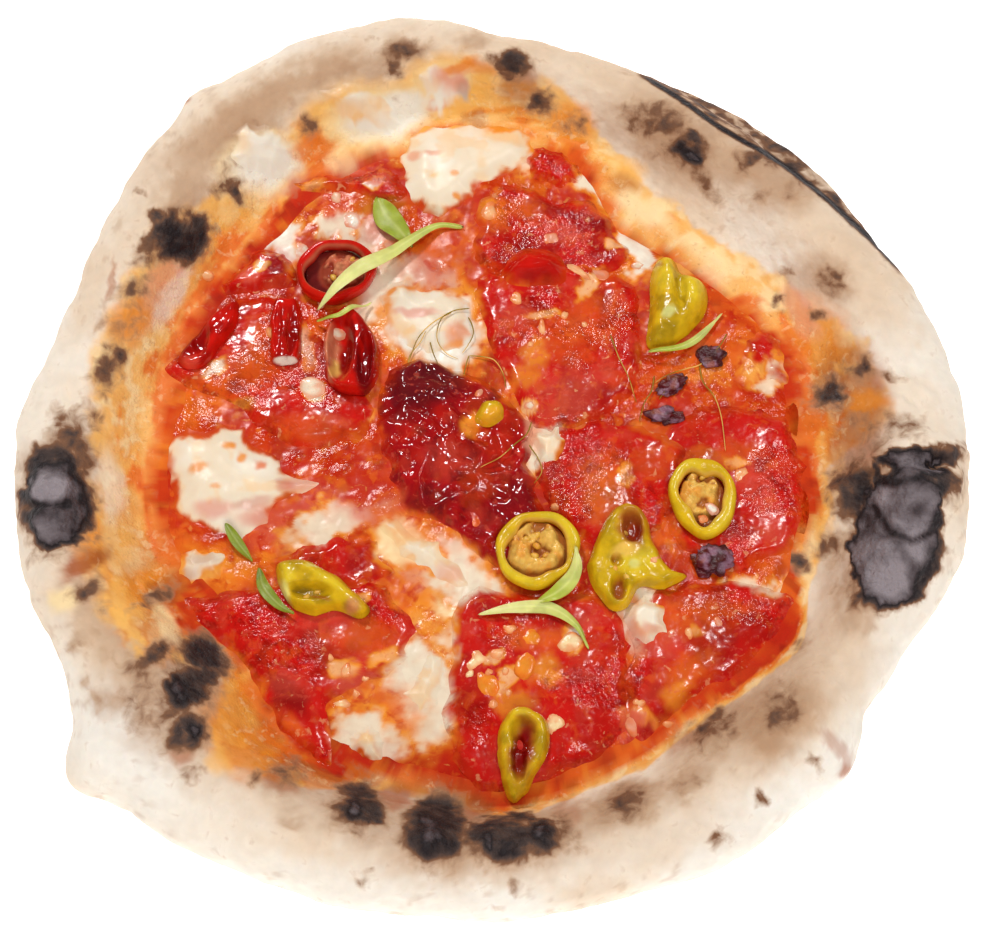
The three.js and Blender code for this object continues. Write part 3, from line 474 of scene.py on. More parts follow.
stainSpots = [
    ("butter", [(130, 121, 26, 24, 1)]), ("milk", [(129, 121, 22, 20, 1)]), ("gold", [(113, 121, 38, 26, 1),
        (98, 125, 36, 24, 0.9)]), ("butter", [(109, 119, 34, 22, 1)]), ("milk", [(107, 118, 28, 16, 1)]),
    ("butter", [(98, 128, 20, 12, 0.9)]), ("amber", [(95, 132, 14, 5, 0.7, 20)]), ("orange", [(99, 118, 6, 5, 0.6)]),
    ("butter", [(118, 108, 10, 12, 0.5)]), ("blush", [(157, 117, 34, 12, 0.6)]), ("milk", [(156, 113, 24, 7, 0.5)]),
    ("gold", [(138, 115, 22, 12, 0.6)]), ("amber", [(120, 122, 8, 14, 0.8)]), ("orange", [(121, 116, 14, 12, 0.7)]),
    ("amber", [(163, 122, 16, 14, 0.8)]), ("gold", [(198, 122, 20, 12, 0.5), (207.5, 125, 14, 9, 0.85)]),
    ("milk", [(190, 120, 24, 8, 0.5)]), ("amber", [(207, 119, 12, 14, 0.8)]), ("rust", [(200, 133, 7, 16, 0.9, 15)]),
    ("amber", [(196, 131, 14, 12, 0.7)]), ("butter", [(204, 142, 10, 9, 0.9)]), ("amber", [(232, 125, 20, 18, 0.4)]),
    ("gold", [(231, 119, 14, 8, 0.6)]), ("amber", [(229, 121, 16, 20, 0.45), (236, 128, 14, 16, 0.35)]),
    ("gold", [(233, 134, 8, 8, 0.6)]), ("butter", [(213, 117, 16, 6, 0.7)]), ("rust", [(209, 113, 9, 14, 0.6)]),
    ("tan", [(216, 120, 6, 12, 0.4)]), ("rust", [(229, 139, 6, 6, 0.6), (241, 127, 14, 10, 0.6)]),
    ("amber", [(238, 126, 6, 12, 0.5)]), ("rust", [(256, 121, 10, 7, 0.7), (267, 122, 12, 6, 0.8),
        (280, 124, 8, 8, 0.4), (263, 117, 20, 5, 0.6), (246, 121, 24, 3, 0.5), (300, 115, 14, 5, 0.4),
        (6, 114, 34, 22, 0.75)]), ("amber", [(18, 108, 24, 18, 0.55), (4, 117, 8, 14, 0.6)]),
    ("gold", [(10, 113, 6, 8, 0.5)]), ("rust", [(354, 113, 24, 16, 0.55)]), ("gold", [(346, 107, 30, 6, 0.5)]),
    ("blush", [(22, 106, 20, 8, 0.6)]), ("rust", [(352.5, 135, 4, 7, 0.9), (86, 125, 14, 14, 0.6)]),
    ("amber", [(77, 112, 16, 16, 0.7)]), ("butter", [(57.5, 91, 20, 10, 0.85), (40, 90, 20, 8, 0.6)]),
    ("rust", [(64, 97, 10, 8, 0.5)]), ("gold", [(66, 103, 16, 8, 0.6)]), ("rust", [(93, 112, 9, 6, 0.5)]),
    ("orange", [(94, 131, 20, 6, 0.4)]), ("rust", [(313, 150, 6, 5, 0.7), (314.5, 144, 4, 12, 0.45),
        (131, 159, 3, 5, 0.7), (158, 134, 16, 2.5, 0.5, 20)]),
]
burntSpots = [   # burnt to three depths, see scorchOf
    ("brown", [(0, 127, 9, 14, 0.7), (7.3, 127, 3, 11, 0.75, -12), (9.5, 118, 10, 11, 0.85), (5.5, 106, 13, 13, 0.85),
        (0.5, 113, 7, 12, 0.6), (20, 111, 5, 6, 0.8), (25, 102, 4, 5, 0.85), (25, 120.5, 9, 8, 0.8),
        (30, 111, 8, 2, 0.6, 30), (41, 130, 9, 13, 0.5), (43, 122, 5, 12, 0.5), (48.5, 127.5, 9, 11, 0.9, -15),
        (46, 132, 8, 5, 0.8), (64, 124, 22, 15, 0.85, 15), (57, 117, 18, 14, 0.85), (51, 111, 13, 7, 0.7),
        (60, 113, 14, 8, 0.5), (87.5, 128, 11, 9, 0.8), (82.5, 119, 10, 10, 0.8), (76.5, 113, 9, 7, 0.8),
        (81, 123, 5, 6, 0.7), (102.5, 142, 14, 8, 0.9), (104.5, 136, 6, 10, 0.75), (106, 148.5, 4, 4, 0.5),
        (127.5, 135.5, 7, 5, 0.6), (119.5, 125, 7, 10, 0.85), (135.5, 121, 9, 14, 0.9), (133.5, 128, 8, 8, 0.5),
        (144.5, 142.5, 3, 4, 0.8), (151.5, 128, 14, 11, 0.85), (158, 125.5, 12, 11, 0.85), (164, 124, 12, 16, 0.5),
        (170.5, 124, 18, 10, 0.85), (180, 132, 14, 14, 0.75), (185, 130, 14, 14, 0.75), (198, 137, 6, 20, 0.5),
        (204, 134, 8, 10, 0.85), (207, 132, 5, 5, 0.6), (209.3, 117, 4, 12, 0.9), (217.5, 147, 5, 4, 0.4),
        (210, 144, 3, 6, 0.5), (222, 127, 30, 33, 0.55), (216, 131, 9, 12, 0.7), (231.5, 142, 6, 7, 0.7),
        (238, 132, 4, 5, 0.8), (241.5, 126, 11, 9, 0.7), (252, 126, 16, 16, 0.8), (255.5, 146, 5, 5, 0.7),
        (263, 129, 20, 22, 0.8), (272.5, 142.5, 5, 5, 0.7), (279, 127, 7, 10, 0.75), (279.5, 135, 7, 4, 0.5),
        (288, 125.5, 16, 9, 0.8), (297, 127, 9, 5, 0.6), (296.5, 145, 7, 4, 0.75), (303.5, 141, 4, 5, 0.7),
        (303.5, 117, 17, 11, 0.85), (311.5, 141.5, 4, 6, 0.7), (312.5, 125, 18, 13, 0.75), (322, 116.5, 9, 3.5, 0.5),
        (333.5, 103, 9, 8, 0.9), (338.5, 110.5, 11, 9, 0.85), (334, 123, 13, 10, 0.7), (349, 112, 24, 14, 0.8),
        (358, 118, 10, 14, 0.6), (352, 144, 14, 6, 0.7), (272, 130, 30, 16, 0.5)]), ("char", [(9.5, 118, 7, 8, 0.7),
        (5.5, 106, 9, 10, 0.75), (25, 120, 6, 5, 0.5), (48, 128, 5, 7, 0.6, -15), (57, 118, 13, 10, 0.75),
        (57.5, 123, 7, 6, 0.85), (87.5, 133.5, 12, 9, 0.95), (83, 119, 6, 6, 0.7), (87.5, 127, 8, 2, 0.6),
        (102.5, 142, 10, 5, 0.6), (135.5, 121, 6, 10, 0.8), (119.5, 125, 4, 6, 0.5), (147, 122, 18, 20, 0.97),
        (146, 134, 7, 6, 0.85), (158, 126, 8, 7, 0.6), (151, 129, 7, 5, 0.5), (170, 124, 9, 6, 0.4),
        (191, 137, 30, 22, 0.97), (186, 138, 16, 17, 0.9), (182, 133, 10, 14, 0.6), (204, 134, 5, 7, 0.6),
        (209.3, 117, 2.5, 8, 0.6), (216.5, 126, 7, 12, 0.95), (223, 124, 12, 18, 0.95), (227.5, 133, 10, 12, 0.95),
        (221, 114, 15, 10, 0.95), (252, 126, 12, 13, 0.92, 12), (262.5, 127.5, 17, 20, 0.95),
        (272, 129.5, 27, 12, 0.95), (288, 126, 9, 5, 0.4), (303.5, 117, 8, 7, 0.45), (333.5, 103, 6, 5, 0.7),
        (338.5, 110, 7, 6, 0.6), (343.5, 129, 50, 26, 0.95), (348, 113, 18, 9, 0.75), (352, 140, 12, 10, 0.7),
        # The thin coal streaks at 191.5 and 343.3 degrees, between the grey lobes of the two burnt blisters, are
        # painted shade in the creases.
        (355.5, 133, 6, 26, 0.95, 4)]), ("coal", [(147, 122, 10, 12, 0.7), (146, 134, 3, 3, 0.6),
        (185, 139, 7, 12, 0.5), (191.5, 138, 2.5, 16, 0.7), (191, 146, 14, 2, 0.6), (197, 136, 3, 18, 0.6),
        (87.5, 134, 7, 4, 0.6), (228, 133, 7, 6, 0.5), (222.5, 115, 8, 6, 0.5), (263, 120, 10, 6, 0.5),
        (266.5, 129, 3, 10, 0.6), (343.3, 131, 5, 22, 0.8), (353, 136, 3, 8, 0.95), (357, 140, 3, 14, 0.6, 6),
        (349, 119, 22, 3, 0.6)]),
]
ashSpots = [   # painted grey sheen, a highlight on the tops of burnt bubbles
    ("ash", [(188.4, 138, 12, 15, 0.9, 10), (194, 137.5, 14, 13, 0.9), (338.5, 128.5, 28, 22, 1),
        (347.5, 131, 24, 24, 1), (354.6, 129, 6, 26, 0.9), (222.5, 127, 8, 6, 0.5), (229, 131, 5, 4, 0.3),
        (262, 127, 6, 10, 0.4), (269.5, 130, 4, 6, 0.45), (275.5, 128, 5, 7, 0.5), (252, 127, 5, 6, 0.35),
        (56.5, 117, 9, 6, 0.5), (5, 107, 5, 6, 0.4), (149, 121, 5, 8, 0.25), (304, 117, 5, 5, 0.3)]),
]


def alongRim(spots):   # spots given by angle and distance out, as places on the level
    return [(tone, [(*polar(angle, out), width, depth, strength, angle + 90 + sum(turn))
                    for angle, out, width, depth, strength, *turn in group]) for tone, group in spots]


# The crease over the scorched lip, along which a line of painted shade runs, as angle and distance out.
lipCrease = [(20, 143), (25, 141), (32, 137.5), (40, 135), (45, 134), (52, 132), (56, 132), (62, 134.5), (68, 137.5),
             (75, 141)]
scorchOf = {"brown": 0.5, "char": 0.88, "coal": 1.05}   # how burnt each of these tones is
blisterCreases = [   # folds in the skin of burnt blisters, painted as shade: path on the level, half-width
    ([(117, -27), (118.6, -30.6), (121.6, -35.5), (127.5, -38.8), (133.2, -36.5), (136.7, -30.6)], 1.4),
    ([(117, -19), (125.6, -19.7), (133, -17.5)], 1.5),
    ([(-143, -26), (-137, -27.5), (-131, -26)], 1.2),
]


def seenFrom(x, y, z):   # angle and distance out on the level at which the rim was read
    sx, sy = atLevel(x, y, z, eye["level"])
    return sx, sy, np.degrees(np.arctan2(sy, sx)), np.hypot(sx, sy)


# How far a place lies beyond the red sauce: under 0 is sauce, from 0 to 1 is dough that its oil has soaked.
def soakedShare(x, y, z):
    _, _, angle, out = seenFrom(x, y, z)
    red, oil = around(redReach, angle), around(oilReach, angle)
    spread = np.maximum(oil - red, 3)
    uneven = (1.6 * fractal(x, y, z, 8, 3, 41) + 0.9 * fractal(x, y, z, 3, 3, 42)) * np.clip(spread / 12, 0.25, 1.3)
    return (out - red + uneven) / spread


def redSauce(x, y):
    return clouded(base("ember", len(x)), x, y, 0, 0, ("orange", 0.7, -0.1, 0.7, 12, 3, 64),
                   ("tomato", 0.8, -0.1, 0.6, 16, 3, 65), ("amber", 0.4, 0.35, 0.9, 4.5, 3, 70),
                   ("blood", 0.4, 0.25, 0.9, 5.5, 3, 72))


def soakedDough(colours, x, y, z, soaked):
    _, _, angle, out = seenFrom(x, y, z)
    streak = fractal(*polar(angle, 36), out, 3, 3, 43)   # the skin has stretched round the rim
    mottled = fractal(x, y, z, 6, 3, 44)
    roast = np.clip(1.1 * bell(angle, 236, 38) + 0.5 * bell(angle, 356, 20) + 0.4 * bell(angle, 150, 10), 0, 1)
    colours = mixed(colours, "gold", 0.9 * smooth(1.05, 0.82, soaked))
    paler = 1 - 0.6 * np.clip(bell(angle, 168, 26) + bell(angle, 30, 16), 0, 1)
    colours = mixed(colours, "amber", 0.8 * paler * smooth(0.7, 0.15, soaked + 0.3 * streak))
    browned = roast * 0.75 * smooth(1.15, 0.75, soaked) * smooth(-0.8, 0.2, mottled + 0.5 * streak)
    colours = mixed(colours, "sienna", browned)
    pale = smooth(0.0, 0.6, mottled + 0.5 * streak) * smooth(1.02, 0.85, soaked) * smooth(0.2, 0.45, soaked)
    colours = mixed(colours, "butter", 0.7 * (1 - 0.8 * roast) * pale)
    colours = mixed(colours, "orange", 0.8 * smooth(0.35, 0.05, soaked + 0.25 * streak - 0.1 * mottled))
    return lerp(colours, redSauce(x, y), smooth(0.1, -0.12, soaked + 0.08 * streak)[:, None])


def doughColours(x, y, z, soaked, stained=True):
    sx, sy, _, _ = seenFrom(x, y, z)
    colours = clouded(base("cream", len(x)), x, y, z, 0, ("tan", 0.35, 0, 1, 26, 3, 31),
                      ("flour", 0.35, 0.1, 0.9, 20, 3, 33))
    colours = spotted(colours, sx, sy, z, alongRim(plainSpots), 1.4, 5, 0.7)
    freckles = smooth(0.5, 1.0, fractal(x, y, z, 3.0, 3, 35)) * smooth(-0.1, 0.6, fractal(x, y, z, 22, 2, 36))
    colours = mixed(colours, "toast", 0.3 * freckles)
    colours = soakedDough(colours, x, y, z, soaked)
    return spotted(colours, sx, sy, z, alongRim(stainSpots), 0.7, 6, 0.4) if stained else colours


# Marks are 0 on plain dough, about 0.5 where it is brown, 1 where black; above that they turn to a painted grey sheen.
burns = {"ragged": 0.9, "halo": 4.6, "uneven": 0.25, "greySheenSoft": 0.7, "ash": 1.65, "greySheenUneven": 0.5, "creaseShade": 0.85}


def burntMarks(x, y, z):
    sx, sy, _, _ = seenFrom(x, y, z)
    marks = np.zeros(len(x))
    for tone, near, amount, _ in spotCover(sx, sy, z, alongRim(burntSpots), burns["ragged"], 6, 0, burns["halo"]):
        marks[near] = np.maximum(marks[near], scorchOf[tone] * amount)
    marks = marks * (1 + burns["uneven"] * fractal(x, y, z, 6, 3, 9))
    greyed = burns["ash"] + burns["greySheenUneven"] * fractal(x, y, z, 9, 2, 10)
    # painted sheen: over black dough, the marks rise to a grey highlight on the blisters' tops
    for _, near, amount, _ in spotCover(sx, sy, z, alongRim(ashSpots), burns["ragged"], 8, burns["greySheenSoft"]):
        marks[near] = lerp(marks[near], greyed[near], amount * smooth(0.25, 0.6, marks[near]))
    # painted shade: along the blisters' folds the grey sheen is pulled back to black
    for path, width in blisterCreases:
        pulled = burns["creaseShade"] * np.exp(-(pathDistance(path, sx, sy) / width) ** 2)
        marks = np.where(marks > 1, lerp(marks, 1.0, pulled), marks)
    return marks


# The scorched lower lip on the far right, a line of painted shade in the crease above it, and the browned
# underside. Lift: how far round the rim's outside a place lies, from -60 degrees at its foot to 90 at its crest.
def lowMarks(x, y, z, lift, under, outside):
    _, _, angle, seenOut = seenFrom(x, y, z)
    beyond = seenOut - np.interp(angle, *zip(*lipCrease))
    onLip = outside * smooth(20, 26, angle) * smooth(71, 66, angle)
    # the scorched lip, and a black line of painted shade along the crease above it
    lipBurn = onLip * np.maximum(smooth(0.4, 1.6, beyond) * (0.42 + 0.25 * fractal(x, y, z, 4, 3, 51)),
                                 1.1 * np.exp(-(beyond / 1.1) ** 2))
    scorch = smooth(-4, -14, np.degrees(lift) + 6 * fractal(x, y, z, 14, 2, 52))
    below = np.where(under, 0.42 + 0.25 * fractal(x, y, z, 10, 3, 53), 0.45 * scorch)
    return np.maximum(lipBurn, below)


# The crust as one sheet: v runs from the middle of its underside out, up round the rim's outside, down its slope
# and over the bed to the middle again.
def shapeDough(u, v):
    underShare, outsideShare, slopeShare = 0.05, 0.43, 0.88
    degrees = 360 * u
    outer, inner, crest, top = outerRadius(degrees), innerRadius(degrees), crestRadius(degrees), crestHeight(degrees)
    wide = dough["widestHeight"]
    lift = np.radians(lerp(-60, 90, np.clip((v - underShare) / (outsideShare - underShare), 0, 1)))
    lip = bell(degrees, dough["lip"]["at"], dough["lip"]["width"])
    crease = dough["lip"]["inset"] * lip * smooth(0.09, 0.44, lift) * np.cos(lift)
    half = np.where(lift < 0, wide, top - wide)
    under, outside = v < underShare, (v >= underShare) & (v <= outsideShare)
    down = np.clip((v - outsideShare) / (slopeShare - outsideShare), 0, 1)
    inward = np.clip((v - slopeShare) / (1 - slopeShare), 0, 1)
    r = np.select([under, outside], [v / underShare * (outer - dough["undercut"]),
                                     lerp(crest, outer, np.cos(lift) ** 0.9) - crease],
                  lerp(crest, inner, down) * (1 - inward ** 2))
    x, y = polar(degrees, r)
    raised = smooth(0.1, 0.7, lift) * bumps(x, y, blisters)
    z = np.select([under, outside], [0, wide + half * np.sin(lift) + raised], doughTop(x, y))
    # lumps stand out along the outside's slope, and upwards elsewhere
    relief = doughRelief(x, y, z, degrees) * np.where(under, 0, smooth(-0.8, -0.2, lift))
    relief = relief * np.where(inward > 0, smooth(dough["bedEdge"], 1, r / inner), 1)
    outX, outY = polar(degrees, np.where(outside, np.cos(lift), 0) * relief)
    x, y = x + outX, y + outY
    z = z + np.where(outside, np.sin(lift), 1) * relief * ~under
    onTop = ~under & (v > 0.3)
    soaked = np.where(onTop, soakedShare(x, y, z), 2)
    colours = doughColours(x, y, z, soaked)
    marks = np.maximum(burntMarks(x, y, z), lowMarks(x, y, z, lift, under, outside))
    wet = np.maximum(marks * 0.5, onTop * smooth(0.95, 0.3, soaked) * smooth(-0.15, 0.3, soaked))
    return x, y, z, colours, wet, marks


bm = bmesh.new()
surface(bm, dough["columns"], dough["rows"], shapeDough)
finishPiece(bm, "puffed_crust", bakedDough, "crust", "baked_dough")
print("crust made")

# The heights of what lies on the pizza, on a fine grid, so that each topping drapes over the last.
grid = {"reach": 150, "pitch": 0.8}
axis = np.arange(-grid["reach"], grid["reach"] + 0.1, grid["pitch"])
gridX, gridY = np.meshgrid(axis, axis)
gridAngle = np.degrees(np.arctan2(gridY, gridX))
heights = doughTop(gridX, gridY)
heights = heights + doughRelief(gridX, gridY, heights, gridAngle) * smooth(
    dough["bedEdge"], 1, np.hypot(gridX, gridY) / innerRadius(gridAngle))


def heightAt(field, x, y):
    fx, fy = ((c + grid["reach"]) / grid["pitch"] for c in (x, y))
    i = np.clip(fx.astype(int), 0, len(axis) - 2)
    j = np.clip(fy.astype(int), 0, len(axis) - 2)
    a, b = fx - i, fy - j
    return ((field[j, i] * (1 - a) + field[j, i + 1] * a) * (1 - b)
            + (field[j + 1, i] * (1 - a) + field[j + 1, i + 1] * a) * b)


def levelAt(field, x, y):   # at one place
    return heightAt(field, np.array([x], float), np.array([y], float))[0]


def shifted(field):
    padded = np.pad(field, 1, mode="edge")
    return [padded[1:-1, 1:-1], padded[:-2, 1:-1], padded[2:, 1:-1], padded[1:-1, :-2], padded[1:-1, 2:]]


def draped(field, cells):   # the highest thing near each place, then softened
    for _ in range(cells):
        field = np.maximum.reduce(shifted(field))
    for _ in range(2 * cells):
        field = sum(shifted(field)) / 5
    return field


def layOnGrid(within, topHeights, window=(slice(None), slice(None))):
    heights[window] = np.where(within, np.maximum(heights[window], topHeights), heights[window])


def windowOf(loop, margin=2):   # the part of the grid that a loop spans
    low, high = (loop.min(axis=0) - margin, loop.max(axis=0) + margin)
    cells = [[int(np.clip((c + grid["reach"]) / grid["pitch"], 0, len(axis) - 1)) for c in end] for end in (low, high)]
    return slice(cells[0][1], cells[1][1] + 1), slice(cells[0][0], cells[1][0] + 1)


sauce = {"edge": 3.0, "thick": 1.1, "lumps": 0.5, "grain": 0.15, "brim": 0.14, "level": dough["bedTop"] + 2.0,
         "underShare": 0.06, "columns": 640, "rows": 132}

# Patches of the sauce: where cheese thinned out over it, where oil pooled, where it is plain tomato. From here on
# a spot is x, y, width, depth, strength, and a turn where there is one.
saucePatches = [
    ("gold", [(-80, 90, 40, 22, 0.7, 30)]), ("orange", [(-58, 104, 34, 18, 0.85, 20)]),
    ("ember", [(-52, 100, 16, 8, 0.6, 30)]), ("orange", [(-76, 78, 24, 18, 0.7, 20)]),
    ("milk", [(-69, 70, 12, 18, 0.9, 10)]), ("ivory", [(-52, 79, 16, 12, 0.85)]), ("rose", [(-54, 87, 14, 8, 0.8)]),
    ("tomato", [(-72, 60, 16, 16, 0.5)]), ("ivory", [(-42, 69, 24, 16, 1, 20), (-28, 52, 34, 30, 1)]),
    ("milk", [(-20, 40, 30, 26, 1)]), ("ember", [(-18, 66, 26, 22, 0.75)]), ("orange", [(-14, 74, 20, 12, 0.6)]),
    # the moss patch at (-36, 84) is painted shade beside the sprout leaf
    ("ember", [(-36, 78, 20, 16, 0.7)]), ("moss", [(-36, 84, 20, 10, 0.35)]), ("tomato", [(-30, 96, 16, 14, 0.6)]),
    ("gold", [(-22, 122, 40, 16, 0.8), (-10, 112, 44, 20, 0.7)]), ("amber", [(6, 115, 24, 16, 0.7)]),
    ("milk", [(14, 104, 12, 8, 0.6)]), ("ivory", [(37, 93, 13, 20, 0.9, 30)]), ("milk", [(46, 73, 9, 26, 1, 20)]),
    ("amber", [(50, 82, 14, 20, 0.7)]), ("orange", [(48, 78, 8, 10, 0.7)]), ("butter", [(66, 72, 34, 12, 0.9, -40)]),
    ("gold", [(60, 62, 12, 10, 0.9)]), ("orange", [(78, 58, 34, 14, 0.8, -35)]),
    ("ember", [(74, 54, 20, 8, 0.5, -30)]), ("ivory", [(88, 50, 8, 20, 1, 15)]), ("orange", [(80, 34, 26, 20, 0.85)]),
    ("gold", [(86, 26, 18, 12, 0.6)]), ("tomato", [(78, 42, 16, 12, 0.5)]), ("orange", [(66, 24, 24, 16, 0.8)]),
    ("amber", [(68, 22, 12, 7, 0.6)]), ("ivory", [(89, 22, 14, 9, 0.7, 20)]), ("tomato", [(60, 12, 30, 14, 0.8)]),
    ("ivory", [(16, 2, 14, 20, 0.9, 10)]), ("orange", [(12, 6, 8, 16, 0.6)]), ("ember", [(96, -28, 12, 28, 0.7)]),
    ("orange", [(97, -40, 12, 16, 0.7)]), ("ivory", [(82, -50, 20, 7, 0.7), (46, -60, 16, 24, 0.95)]),
    ("orange", [(46, -78, 14, 26, 0.85)]), ("amber", [(50, -88, 16, 12, 0.6)]), ("tomato", [(30, -80, 30, 50, 0.6)]),
    ("rose", [(42, -92, 12, 8, 0.8)]), ("tomato", [(10, -108, 60, 16, 0.8)]), ("ivory", [(-16, -44, 34, 22, 1, -40)]),
    ("butter", [(-26, -36, 22, 14, 0.8, -35)]), ("orange", [(-20, -30, 26, 14, 0.5, -30)]),
    ("butter", [(-18, -60, 14, 18, 0.8)]), ("ivory", [(-17, -72, 13, 18, 0.9)]),
    ("orange", [(-26, -54, 12, 22, 0.9)]), ("amber", [(-22, -60, 9, 20, 0.8), (-18, -66, 10, 16, 0.6)]),
    ("ivory", [(-22, -84, 20, 32, 0.9, 10)]), ("amber", [(-34, -90, 24, 18, 0.85)]),
    ("orange", [(-31, -88, 14, 14, 0.7)]), ("ivory", [(-40, -97, 22, 14, 0.85)]),
    ("ember", [(-56, -100, 16, 10, 0.5, -20)]), ("tomato", [(-30, -106, 30, 12, 0.7), (-8, -112, 22, 14, 0.8)]),
    ("amber", [(-90, -44, 30, 16, 0.85)]), ("gold", [(-92, -42, 14, 8, 0.6)]), ("orange", [(-80, -48, 24, 10, 0.6)]),
    ("amber", [(-78, -76, 14, 26, 0.6, 20)]), ("rose", [(-62, -26, 34, 14, 0.75, 20)]),
    ("tomato", [(-76, -24, 22, 10, 0.35, 10)]), ("ivory", [(-50, -28, 34, 12, 0.8, 25)]),
    ("rose", [(-38, -22, 22, 16, 0.7)]), ("tomato", [(-36, -16, 18, 10, 0.6), (-110, -10, 14, 34, 0.7)]),
    ("ember", [(-108, -26, 18, 18, 0.75)]), ("orange", [(-104, -34, 22, 12, 0.7)]),
    ("tomato", [(-108, 22, 12, 20, 0.6)]), ("orange", [(-100, 12, 22, 10, 0.7)]),
    ("milk", [(-104, 42, 22, 14, 0.6, 40)]), ("ivory", [(-58, 18, 12, 12, 0.9), (-46, 8, 12, 6, 0.6)]),
    ("orange", [(-40, 24, 10, 24, 0.6)]), ("rose", [(-46, 52, 10, 10, 0.5)]), ("ember", [(2, 60, 14, 20, 0.5)]),
]


# Where the sauce ends in each direction: at the foot of the rim, or before that where it thins to oil.
def sauceReach():
    degrees = np.arange(0, 360, 3)
    out = np.arange(84, 126, 0.5)
    _, _, angle, seenOut = seenFrom(*polar(degrees[:, None], out[None, :]), sauce["level"])
    red, oil = around(redReach, angle), around(oilReach, angle)
    bare = (seenOut - red) / np.maximum(oil - red, 3) > 0.2
    ends = np.where(bare.any(axis=1), out[bare.argmax(axis=1)], 200)
    ends = np.minimum(ends, innerRadius(degrees) - sauce["edge"])
    return (np.roll(ends, 1) + 2 * ends + np.roll(ends, -1)) / 4


def sauceHeight(x, y):
    lumpy = sauce["lumps"] * fractal(x, y, 0, 13, 3, 61) + sauce["grain"] * fractal(x, y, 0, 4, 2, 62)
    return heightAt(heights, x, y) + sauce["thick"] + lumpy


def sauceColours(x, y):
    colours = redSauce(x, y)
    z = sauce["level"] + 0 * x
    soaked = soakedShare(x, y, z)
    colours = lerp(colours, doughColours(x, y, z, soaked, stained=False), smooth(0.0, 0.25, soaked)[:, None])
    colours = spotted(colours, x, y, 0 * x, saucePatches, 1.8, 67, 0.6, oily=True)
    return clouded(colours, x, y, 0, 0, ("ember", 0.4 * smooth(0.2, 0.06, colours[:, 2]), 0.35, 0.9, 4.5, 3, 69))


def shapeSauce(u, v):
    degrees = 360 * u
    limit = around(reachOfSauce, degrees) + 0.8 * fractal(*polar(degrees, 30), 0, 6, 3, 63)
    underShare = sauce["underShare"]
    below = v < underShare
    share = np.where(below, v / underShare, 1 - (v - underShare) / (1 - underShare))
    x, y = polar(degrees, limit * share ** 0.8)
    floor = heightAt(heights, x, y)
    brim = smooth(0, sauce["brim"], 1 - share)
    z = np.where(below, floor - 0.8, lerp(floor - 0.5, sauceHeight(x, y), brim))
    colours = sauceColours(x, y)
    cheesy = smooth(0.06, 0.25, colours[:, 2])   # pale places have few flecks and little gloss
    wet = 0.55 + 0.8 * fractal(x, y, 0, 11, 2, 66)
    return x, y, z, colours, np.clip(wet, 0, 1) * (1 - 0.95 * cheesy), 1 - 0.85 * cheesy


reachOfSauce = sauceReach()
bm = bmesh.new()
surface(bm, sauce["columns"], sauce["rows"], shapeSauce)
finishPiece(bm, "tomato_sauce_layer", tomatoSauce, "sauce", "tomato_sauce")
inwards = around(reachOfSauce, gridAngle) - np.hypot(gridX, gridY)
layOnGrid(inwards > 0, lerp(heights - 0.5, sauceHeight(gridX, gridY), smooth(0, 10, inwards)))
print("sauce made")


# Flat toppings are closed slabs that drape over what lies under them.
def smoothLoop(points, count):   # a smooth closed line, its points equally spaced
    points = np.asarray(points, float)
    n = len(points)
    t = np.arange(0, n, 1 / 24)
    i, f = np.floor(t).astype(int), (t % 1)[:, None]
    a, b, c, d = (points[(i + k) % n] for k in (-1, 0, 1, 2))
    fine = curveThrough(a, b, c, d, f)
    steps = np.hypot(*(np.roll(fine, -1, axis=0) - fine).T)
    along = np.concatenate([[0], np.cumsum(steps)])
    fine = np.vstack([fine, fine[:1]])
    wanted = np.linspace(0, along[-1], count, endpoint=False)
    return np.stack([np.interp(wanted, along, fine[:, k]) for k in (0, 1)], axis=1)


def insideLoop(loop, x, y):
    within = np.zeros(np.shape(x), bool)
    for (ax, ay), (bx, by) in zip(loop, np.roll(loop, -1, axis=0)):
        crosses = (ay > y) != (by > y)
        within ^= crosses & (x < ax + (y - ay) / (by - ay + 1e-12) * (bx - ax))
    return within


